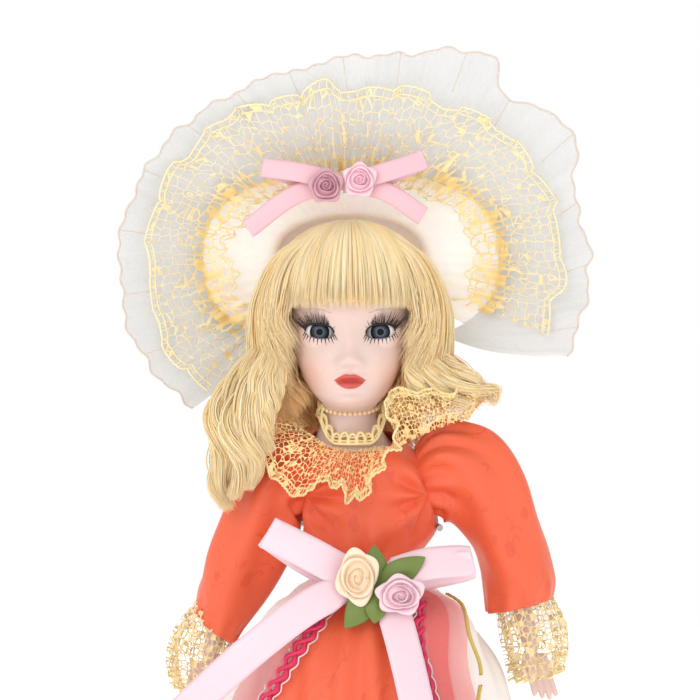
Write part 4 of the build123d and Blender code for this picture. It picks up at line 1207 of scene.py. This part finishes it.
# stations down an arm: x, z, tilt from straight down, half width, half depth
SLEEVES = {
    "left": [(15.5, 261, 92, 9.0, 8.2), (20.5, 263.5, 88, 13.0, 10.5), (26, 263.5, 80, 14.3, 11.5),
             (32.0, 261.0, 60, 15.0, 12.2), (37.5, 255.0, 36, 12.6, 12.6), (42.0, 245.0, 22, 11.0, 12.2),
             (45.8, 235.0, 14, 10.8, 11.8), (47.6, 227.5, 11, 11.0, 11.2), (47.6, 221.6, 14, 10.4, 10.6)],
    "right": [(-15.5, 260, -92, 9.0, 8.2), (-20, 261, -88, 12.4, 10.0), (-25, 260, -74, 13.0, 11.2),
              (-28.5, 255.5, -48, 12.8, 12.0), (-32.4, 246.5, -24, 11.4, 12.2),
              (-37.6, 235.5, -10, 11.8, 12.0), (-41.8, 226, -16, 10.4, 11.2), (-45.2, 218.6, -30, 8.4, 9.6),
              (-46.8, 214.0, -38, 7.2, 8.4)]}
CUFFS = {
    "left": [(47.6, 229.0, 8, 7.0, 7.6), (49.5, 221.0, 10, 8.6, 8.8), (51.6, 214.0, 12, 9.4, 9.4),
             (52.8, 207.0, 12, 8.6, 9.0), (53.0, 200.5, 12, 6.8, 7.8)],
    "right": [(-45.0, 223.5, -30, 5.2, 7.0), (-47.8, 217.0, -28, 7.0, 8.0), (-51.4, 209.0, -22, 8.6, 9.0),
              (-53.2, 201.5, -18, 8.0, 8.8), (-52.6, 195.5, -16, 6.8, 7.6)]}


def limb_sheet(stations, rows, cols, ruffle):
    """Sheet round an arm, through the stations. ruffle adds to its radius: ruffle(turn, s)."""
    stations = np.asarray(stations, float)
    s = np.linspace(0, 1, rows)
    at = s * (len(stations) - 1)
    x, z, tilt, half_x, half_y = (smooth(at, np.arange(len(stations)), stations[:, k])[:, None]
                                  for k in range(5))
    turn = np.linspace(0, 2 * pi, cols)[None, :]
    more = ruffle(turn, s[:, None])
    t = np.radians(tilt)
    wide = (half_x + more) * np.cos(turn)
    points = np.stack([x + wide * np.cos(t), (half_y + more) * np.sin(turn),
                       z + wide * np.sin(t)], -1)
    return points


def make_sleeve(side):
    """Puff sleeve that narrows down the arm, in one piece that rides on no body."""
    sign = ARM[side]

    def folds(turn, s):
        puff = 1.1 * np.sin(13 * turn + 1.5 * np.sin(2 * turn)) * np.exp(-((s - 0.18) / 0.14) ** 2)
        drape = 1.15 * np.sin(5 * turn + 6 * s * sign + 0.8) * np.exp(-((s - 0.42) / 0.24) ** 2)
        crease = 1.0 * np.sin(3 * turn - 8 * s + 0.6) * np.exp(-((s - 0.66) / 0.2) ** 2)
        hem = 0.5 * np.sin(9 * turn + 1.0) * ramp(s, 0.75, 1.0)
        return puff + drape + crease + hem

    points = limb_sheet(SLEEVES[side], 80, 200, folds)
    shape = Shape().grid(points, flat_of(points))
    obj = shape.make("sleeve_taffeta_" + side, TAFFETA, None, nodes=["sleeve_" + side], slot="taffeta",
                     thick=0.35)
    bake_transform(obj)
    cloth(shape, 70.0)


def make_cuff(side):
    """Gathered lace cuff that flares from under the sleeve's hem."""
    rows, cols, scallops, edge_rows = 34, 420, 9, 5

    def folds(turn, s):
        deep = 1.7 * np.sin(9 * turn + 1.3 * np.sin(2 * turn)) + 0.8 * np.sin(17 * turn + 1)
        return s ** 0.8 * deep + 0.3 * np.sin(31 * turn)

    points = limb_sheet(CUFFS[side], rows, cols, folds)
    frill = np.abs(np.sin(np.linspace(0, 2 * pi, cols) * scallops))[None, :]
    points[-edge_rows:, :, 2] -= 1.2 * frill * np.linspace(0, 1, edge_rows)[:, None]
    shape = Shape().grid(points, flat_of(points), tint=np.linspace(0.30, 0.0, rows)[:, None])
    obj = shape.make("cuff_lace_" + side, CUFF_LACE, "arm_" + side, nodes=["cuff_" + side],
                     slot="gold_lace")
    edge = Shape()
    for row, size in ((-1, 0.3), (-6, 0.22)):
        edge.tubes(points[row], size, sides=4)
    cord = edge.make("cuff_cord_" + side, LACE_CORD, "arm_" + side, slot="gold_lace")
    cloth(shape, LACE_CUT)


# x and z of each elbow and wrist
FOREARMS = {"left": ((44.6, 233.0), (51.4, 208.5)), "right": ((-39.8, 231.0), (-48.6, 206.0))}


def make_hand(side):
    """Porcelain forearm and hand with separate fingers, as one smooth casting."""
    sign = ARM[side]
    elbow, wrist = (np.array([x, 0, z]) for x, z in FOREARMS[side])
    lean = unit(wrist - elbow)
    shape = Shape()

    def finger(start, way, length, thick):
        steps = np.linspace(0, 1, 12)
        path = np.array(start) + np.array(way) * length * steps[:, None]
        round_end = np.sqrt(np.clip(1 - (2 * steps - 1) ** 8, 0.0004, 1))
        shape.tubes(path, thick * round_end * np.interp(steps, [0, 1], [1.08, 0.82]), sides=12)

    finger(elbow, lean, np.linalg.norm(wrist - elbow) + 3, 3.3)
    palm = wrist + lean * 2.0
    for k in (-1.5, -0.5, 0.5, 1.5):
        spread = unit(lean + np.array([k * 0.045, 0.0, 0.0]))
        finger(palm + np.array([k * 1.55, 0, 0]), spread, 9.0, 1.55)
        long = 8.2 - 0.9 * abs(k - 0.3)
        knuckle = palm + spread * 7.5 + np.array([k * 1.6, 0.1, 0])
        finger(knuckle, unit(spread + [0, -0.18, 0]), long, 0.98)
    thumb = palm + np.array([-sign * 2.0, -0.6, 1.0])
    finger(thumb, unit(lean + np.array([-sign * 0.5, -0.35, 0])), 8.5, 1.1)
    obj = shape.make("hand_" + side, SKIN, "arm_" + side, nodes=["forearm_" + side], slot="bisque",
                     weld=0.02)
    shell = obj.modifiers.new("casting", "REMESH")
    shell.mode, shell.voxel_size, shell.use_smooth_shade = "VOXEL", 0.28 * MM, True
    ease = obj.modifiers.new("ease", "SMOOTH")
    ease.factor, ease.iterations = 0.5, 6


def make_collar():
    """Lace collar: gathered round the neckline, standing on the doll's left shoulder and hanging in
    lobes in front. Each pair gives a point on the seam and the one beside it on the edge."""
    pairs = [((-16, 9, 277), (-27, 13, 286)), ((-19, 0, 276.5), (-33, 1, 287)),
             ((-19, -7, 276), (-34, -9, 281)), ((-16.5, -10.5, 274.5), (-32, -16, 271)),
             ((-13.5, -12, 272.6), (-27.5, -19, 261.5)), ((-11, -12.8, 271.4), (-20, -20.5, 256.8)),
             ((-8, -13.2, 270.6), (-12.5, -20.5, 261)), ((-5, -13.4, 270.2), (-8, -21.5, 258.6)),
             ((-1, -13.4, 270.4), (-4, -22, 255.6)), ((2.5, -13.2, 271), (0.2, -22, 258.8)),
             ((5.0, -13.2, 271.2), (4.5, -22.5, 266.5)), ((7.2, -13.6, 270.6), (9.6, -23, 272.5)),
             ((9.5, -14, 271), (7.6, -23, 280)), ((12.5, -14.2, 272.4), (5.6, -20.5, 286.4)),
             ((17, -13.8, 274.6), (12, -18, 288.6)), ((22, -12.8, 276.8), (21, -17.5, 287.8)),
             ((27, -11.2, 278.2), (29, -15.5, 288.5)), ((31, -6, 279), (35, -10, 288.5)),
             ((30.5, 1, 279), (37, -1, 287)), ((26, 8, 278), (33, 10, 285)),
             ((12, 12.5, 277), (15, 19, 282)), ((-3, 13, 276.8), (-4, 21, 281)),
             ((-16, 9, 277), (-27, 13, 286))]
    seam, edge = ([pair[k] for pair in pairs] for k in (0, 1))
    rows, cols = 26, 1100
    share = np.arange(len(pairs))
    at = np.linspace(0, share[-1], cols)
    inner, outer = (np.stack([smooth(at, share, np.array(line, float)[:, k]) for k in range(3)], 1)
                    for line in (seam, edge))
    s = np.linspace(0, 1, rows)[:, None, None]
    t = np.linspace(0, 1, cols)
    middle = (inner + outer) / 2 + np.array([0, -2.2, 1.6])
    points = (1 - s) ** 2 * inner + 2 * s * (1 - s) * middle + s ** 2 * outer
    ruffle = (0.45 * waves(t, 52, 31)[None, :] + 1.5 * waves(t, 19, 32)[None, :] * s[..., 0] ** 1.2)
    out = unit(outer - inner)
    side = unit(np.cross(out, unit(np.gradient(outer, axis=0))))
    points = points + side[None] * ruffle[..., None]
    points[..., 2] += 0.9 * waves(t, 23, 33)[None, :] * s[..., 0] ** 2
    shape = Shape().grid(points, flat_of(points), tint=0.45 * (1 - s[..., 0]) ** 3)
    obj = shape.make("collar_lace_net", COLLAR_LACE, "doll", nodes=["collar_lace"], slot="gold_lace")
    edge_cords = Shape()
    wiggle = 0.22 * np.sin(np.arange(cols) * 1.3)
    for row, size in ((-1, 0.34), (-4, 0.26)):
        line = points[row] + np.stack([0 * wiggle, 0 * wiggle, wiggle], -1)
        edge_cords.tubes(line, size, sides=4)
    tips, roots = points[-1, ::5], points[-4, 2::5]
    edge_cords.tubes(np.stack([tips, roots[:len(tips)]], 1), 0.13, sides=4)
    cord = edge_cords.make("collar_cords", LACE_CORD, "doll", slot="gold_lace")
    cloth(shape, 26.0)


def neck_ring(turn, r):
    """Line round the base of the neck, lower in front, where the neckline is sewn."""
    return np.stack([HEAD_X + 0.8 + r * np.sin(turn), -0.6 - r * np.cos(turn),
                     280.2 - 8.4 * ramp(np.cos(turn), 0.30, 0.92)], -1)


def necklace_line(turn):
    """Line of the bead string, lower in front."""
    return np.stack([HEAD_X + 9.5 * np.sin(turn), 0.3 - 9.2 * np.cos(turn), 284.0 - 3.2 * np.cos(turn)], -1)


def make_neckline():
    """Small stand-up loops of lace round the neck, and the bead necklace above them."""
    loops = Shape()
    count = 26
    for k in range(count):
        a = 2 * pi * k / count
        s = np.linspace(0, 1, 12)
        turn = a + (s - 0.5) * 2 * pi / count * 1.25
        r = 11.2 - 1.2 * np.sin(pi * s) ** 0.7
        rise = (3.0 + 0.5 * (k % 2)) * np.sin(pi * s) ** 0.5
        path = neck_ring(turn, r) + np.stack([0 * s, 0 * s, rise], -1)
        loops.tubes(path, 0.46, sides=5)
        loops.tubes(path - [0, 0, 1.1] * np.sin(pi * s)[:, None], 0.34, sides=4)
    ring = np.linspace(0, 2 * pi, 120)
    for height, size in ((0.0, 0.5), (0.9, 0.3)):
        loops.tubes(neck_ring(ring, 11.2 - height * 0.4) + [0, 0, height], size, sides=5)
    loops.make("neckline_loops", LACE_CORD, "doll", nodes=["neckline_lace"], slot="gold_lace")
    beads = Shape()
    count = 38
    u, v = np.meshgrid(np.linspace(0, 2 * pi, 13)[:-1], np.linspace(0.02, pi - 0.02, 8))
    ball = np.stack([np.cos(u) * np.sin(v), np.sin(u) * np.sin(v), np.cos(v)], -1)
    for k in range(count):
        centre = necklace_line(2 * pi * k / count)
        beads.grid(centre + ball * 0.78, tint=(k * 7 % 10) / 10, around=True)
    beads.tubes(necklace_line(ring), 0.2, sides=5)
    beads.make("bead_necklace", PEARL, "doll", nodes=["necklace"], slot="pearl")


def leaf(shape, root, tip, width):
    """Folded ribbon leaf with a crease along its middle."""
    root, tip = np.array(root, float), np.array(tip, float)
    s = np.linspace(0, 1, 22)[None, :]
    w = np.linspace(-1, 1, 11)[:, None]
    along = unit(tip - root)
    across = unit(np.cross(along, [0, -1, 0]))
    span = width / 2 * np.sin(pi * s ** 0.8) ** 0.8
    line = root + (tip - root) * s[0][:, None]
    points = line[None] + across * (w * span)[..., None]
    points[..., 1] += -1.6 * np.sin(pi * s) + 1.1 * np.abs(w) * np.sin(pi * s)
    shape.grid(points, flat_of(points))


def make_waist_bow():
    """Pink satin bow at the waist: two loops, two long tails, two roses and leaves at the knot."""
    shape = Shape()
    y = -29.5
    knot = np.array([-3.0, y, 232.6])
    tip = np.array([-29.6, y + 3.0, 246.4])
    middle = (knot + tip) / 2
    ribbon(shape, [knot + [-1, 0, 0.6], middle + [0, -3.4, 0.8], tip], RIBBON_CUT, (0, -1, 0.25), 0.4,
           (0.6, 1))
    ribbon(shape, [tip, middle + [0.5, 2.4, -2.4], knot + [0, 1.5, -1]], RIBBON_CUT, (0, -1, -0.2), 0.3)
    tip = np.array([31.6, y + 3.4, 237.2])
    middle = (knot + tip) / 2
    ribbon(shape, [knot + [8, 0, 1], middle + [3, -3.2, 2.6], tip + [0, 0, 1.0]], RIBBON_CUT,
           (0, -1, 0.5), 0.4, (0.5, 0.9))
    ribbon(shape, [tip + [0, 0.2, -0.6], middle + [4, 2.2, -1.2], knot + [6, 1.5, -0.5]], RIBBON_CUT,
           (0, -1, -0.35), 0.3, (0.9, 0.6))
    ribbon(shape, [knot + [-1, -0.5, -1.4], (-15, y - 5.4, 226.6), (-30.2, y - 9.0, 216.0),
                   (-48.7, y - 9.0, 199.5), (-62.0, y - 8.6, 186.5)], RIBBON_CUT,
           [(0, -1, 0.2), (0.15, -1, 0.4), (0.1, -1, 0.1)], 0.5, (0.6, 1))
    ribbon(shape, [knot + [9, -0.5, -3], (10.4, y - 8.2, 215.0), (14.0, y - 15.4, 200.0),
                   (18.0, y - 23.5, 180.0), (19.0, y - 32.0, 158.0)], RIBBON_CUT,
           [(0, -1, 0.35), (0.15, -1, 0.35), (-0.1, -1, 0.3)], 0.5, (0.6, 1))
    waist_front = (1.0, -13.5, 233.0)
    for drop in (0.0, 5.0):
        ribbon(shape, [waist_front, (2.0, -21.0, 234.0 - drop), (3.0, y + 1.0, 232.5 - drop)], RIBBON_CUT,
               (0, 0, 1), 0.2)
    bow = shape.make("waist_bow_ribbon", PINK_SATIN, "doll", nodes=["waist_bow"], slot="pink_satin",
                     thick=0.2)
    cloth(shape, RIBBON_CUT)
    rose("rose_cream", (-2.8, y - 1.6, 234.0), 6.8, CREAM_RIBBON, "cream_ribbon", "doll", seed=5,
         tall=1.28, turns=1.8, petals=4)
    rose("rose_pink", (9.8, y - 3.2, 229.0), 7.6, PINK_SATIN, "pink_satin", "doll", seed=6, tall=0.82)
    leaves = Shape()
    root = np.array([3.0, y - 1.8, 231.0])
    for tip, width in (((-6.5, y - 5.0, 219.0), 9.0), ((2.2, y - 6.0, 220.5), 7.5),
                       ((17.2, y - 2.8, 239.6), 8.0), ((2.0, y - 0.6, 243.0), 7.0)):
        leaf(leaves, root, tip, width)
    leaves.make("ribbon_leaves", LEAF, "doll", nodes=["leaves"], slot="leaf", thick=0.2)


make_skirt()
make_bodice()
for side in ARM:
    make_sleeve(side)
    make_cuff(side)
    make_hand(side)
make_collar()
make_neckline()
make_waist_bow()


# ---------------------------------------------------------------- cloth body, legs, shoes, stand
def stuffed(name, node, body, stations):
    """Stuffed cotton form through stations (x, y, z, half width, half depth), with two seams."""
    stations = np.asarray(stations, float)
    at = np.linspace(0, len(stations) - 1, 46)
    x, y, z, half_x, half_y = (smooth(at, np.arange(len(stations)), stations[:, k])[:, None]
                               for k in range(5))
    turn = np.linspace(0, 2 * pi, 72, endpoint=False)[None, :]
    seam = 0.35 * np.exp(-((np.sin(turn) / 0.06) ** 2))
    pucker = 0.10 * np.sin(at[:, None] * 9 + 2 * np.sin(turn * 3))
    points = np.stack([x + (half_x - seam + pucker) * np.cos(turn),
                       y + (half_y - seam + pucker) * np.sin(turn), z + 0 * turn], -1)
    padding(name, node, body, points)


def make_body():
    """Stuffed torso and thighs, as large as their CAD nodes' boxes. Each row gives how far down the
    box a station is, and its share of the box's width and depth."""
    inset = 0.3
    low, high = (np.array(c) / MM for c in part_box("torso"))
    half = (high - low) / 2
    stuffed("torso_cloth", "torso", "doll",
            [(0, 0, high[2] - inset - drop * 2 * half[2], half[0] * wide, half[1] * deep)
             for drop, wide, deep in ((0, 0.55, 0.6), (0.12, 0.82, 0.85), (0.4, 0.62, 0.7),
                                      (0.62, 0.58, 0.68), (0.85, 0.95, 0.95), (1.0, 0.7, 0.8))])
    for side in ARM:
        low, high = (np.array(c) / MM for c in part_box("thigh_" + side))
        middle, half = (low + high) / 2, (high - low) / 2 - inset
        stuffed("thigh_cloth_" + side, "thigh_" + side, "leg_" + side,
                [(*middle[:2], high[2] - inset - drop * 2 * half[2], half[0] * wide, half[1] * wide)
                 for drop, wide in ((0, 0.45), (0.06, 0.85), (0.5, 0.95), (0.95, 0.86), (1, 0.7))])


# stations down an upper arm, as for the sleeves
UPPER_ARMS = {
    "left": [(26.2, 259.0, 90, 3.4, 3.6), (28.4, 258.0, 78, 5.0, 5.2), (36.0, 250.0, 36, 4.9, 5.0),
             (41.6, 240.0, 20, 4.5, 4.6), (43.0, 236.6, 16, 3.2, 3.4)],
    "right": [(-26.2, 258.0, -90, 3.4, 3.6), (-28.0, 256.4, -76, 5.0, 5.2), (-33.0, 249.0, -34, 4.9, 5.0),
              (-37.4, 240.0, -20, 4.5, 4.6), (-38.6, 236.6, -16, 3.2, 3.4)]}


def make_upper_arms():
    """Stuffed cotton arms inside the sleeves, with a seam along the inside."""
    def seam(turn, s):
        pucker = 0.10 * np.sin(30 * s + 2 * np.sin(turn * 3))
        return -0.3 * np.exp(-((np.sin(turn / 2) / 0.08) ** 2)) + pucker

    for side, stations in UPPER_ARMS.items():
        padding("upper_arm_cloth_" + side, "upper_arm_" + side, "arm_" + side,
                limb_sheet(stations, 44, 65, seam)[:, :-1])


def make_shoes():
    """Leatherette shoes with a pink line round the sole and a small bow at the toe."""
    for side in ARM:
        low, high = (np.array(c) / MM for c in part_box("shoe_" + side))
        middle, half = (low + high) / 2, (high - low) / 2 - 0.1
        dress_node("shoe_" + side, SHOE)
        trim = Shape()
        turn = np.linspace(0, 2 * pi, 80)
        ring = np.stack([middle[0] + half[0] * np.sign(np.cos(turn)) * np.abs(np.cos(turn)) ** 0.8,
                         middle[1] + half[1] * np.sin(turn), low[2] + 0.9 + 0 * turn], -1)
        trim.tubes(ring, 0.32, sides=5)
        toe = np.array([middle[0], low[1] + 5.0, high[2] - 0.8])
        for sign in (-1, 1):
            s = np.linspace(0, 2 * pi, 24)
            loop = toe + np.stack([sign * (1.9 - 1.9 * np.cos(s)), 0 * s, 1.1 * np.sin(s)], -1)
            trim.tubes(loop, 0.34, sides=5)
        trim.make("shoe_trim_" + side, HAT_RIBBON, "leg_" + side, slot="pink_satin")


make_body()
make_upper_arms()
make_shoes()
for side in ARM:
    dress_node("lower_leg_" + side, SKIN)
dress_node("stand_base", STAND_PAINT)
for node in ("stand_tube", "stand_rod", "waist_clip"):
    dress_node(node, WIRE)


# ---------------------------------------------------------------- studio
def studio():
    """A white floor and surround, with four soft lamps aimed at the doll's chest."""
    floor_size, floor_white, floor_glow = 3.0, 0.9, 0.45
    light_on_doll, light_seen = 0.86, 1.0      # the surround's strength as a lamp and as a backdrop
    bpy.ops.mesh.primitive_plane_add(size=floor_size, location=(0, 0, 0))
    floor = bpy.context.object
    floor.name = "floor"
    paint = Finish("floor_paint", Roughness=0.9, Emission_Strength=floor_glow)
    paint.put(paint.shader, **{"Emission Color": (1, 1, 1)})
    paint.colour((floor_white, floor_white, floor_white))
    floor.data.materials.append(paint.material)
    world = bpy.data.worlds.new("studio")
    bpy.context.scene.world = world
    world.use_nodes = True
    tree = world.node_tree
    glow = tree.nodes["Background"]
    glow.inputs["Color"].default_value = (1.0, 1.0, 1.0, 1)
    seen = tree.nodes.new("ShaderNodeLightPath").outputs["Is Camera Ray"]
    level = tree.nodes.new("ShaderNodeMapRange")
    level.inputs["To Min"].default_value = light_on_doll
    level.inputs["To Max"].default_value = light_seen
    tree.links.new(seen, level.inputs["Value"])
    tree.links.new(level.outputs[0], glow.inputs["Strength"])
    target = Vector((0, 0, 0.28))
    # each lamp's name, place in metres, size in metres and power in watts
    for name, place, size, power in (("key", (-0.60, -0.95, 0.80), 0.6, 2.7),
                                     ("fill", (0.8, -0.8, 0.45), 0.9, 0.8),
                                     ("front", (-0.1, -1.2, 0.40), 1.0, 1.6),
                                     ("top", (0.0, 0.35, 1.1), 0.8, 1.2)):
        data = bpy.data.lights.new(name, "AREA")
        data.size, data.energy = size, power
        light = bpy.data.objects.new(name, data)
        light.location = place
        light.rotation_euler = (target - light.location).to_track_quat("-Z", "Y").to_euler()
        bpy.context.scene.collection.objects.link(light)


def camera():
    """Level view from straight in front, centred on the head. The frame's width holds in the plane
    of the doll's chest."""
    view_z, frame_width, chest_y = 300.4, 210.0, -20.0
    lens, sensor = 100.0, 36.0
    distance = frame_width * lens / sensor - chest_y
    data = bpy.data.cameras.new("camera")
    data.lens, data.sensor_width = lens, sensor
    data.clip_start = 0.01
    obj = bpy.data.objects.new("camera", data)
    obj.location = (HEAD_X * MM, -distance * MM, view_z * MM)
    obj.rotation_euler = (radians(90), 0, 0)
    bpy.context.scene.collection.objects.link(obj)
    bpy.context.scene.camera = obj


studio()
camera()
bpy.context.scene.view_settings.view_transform = "Standard"
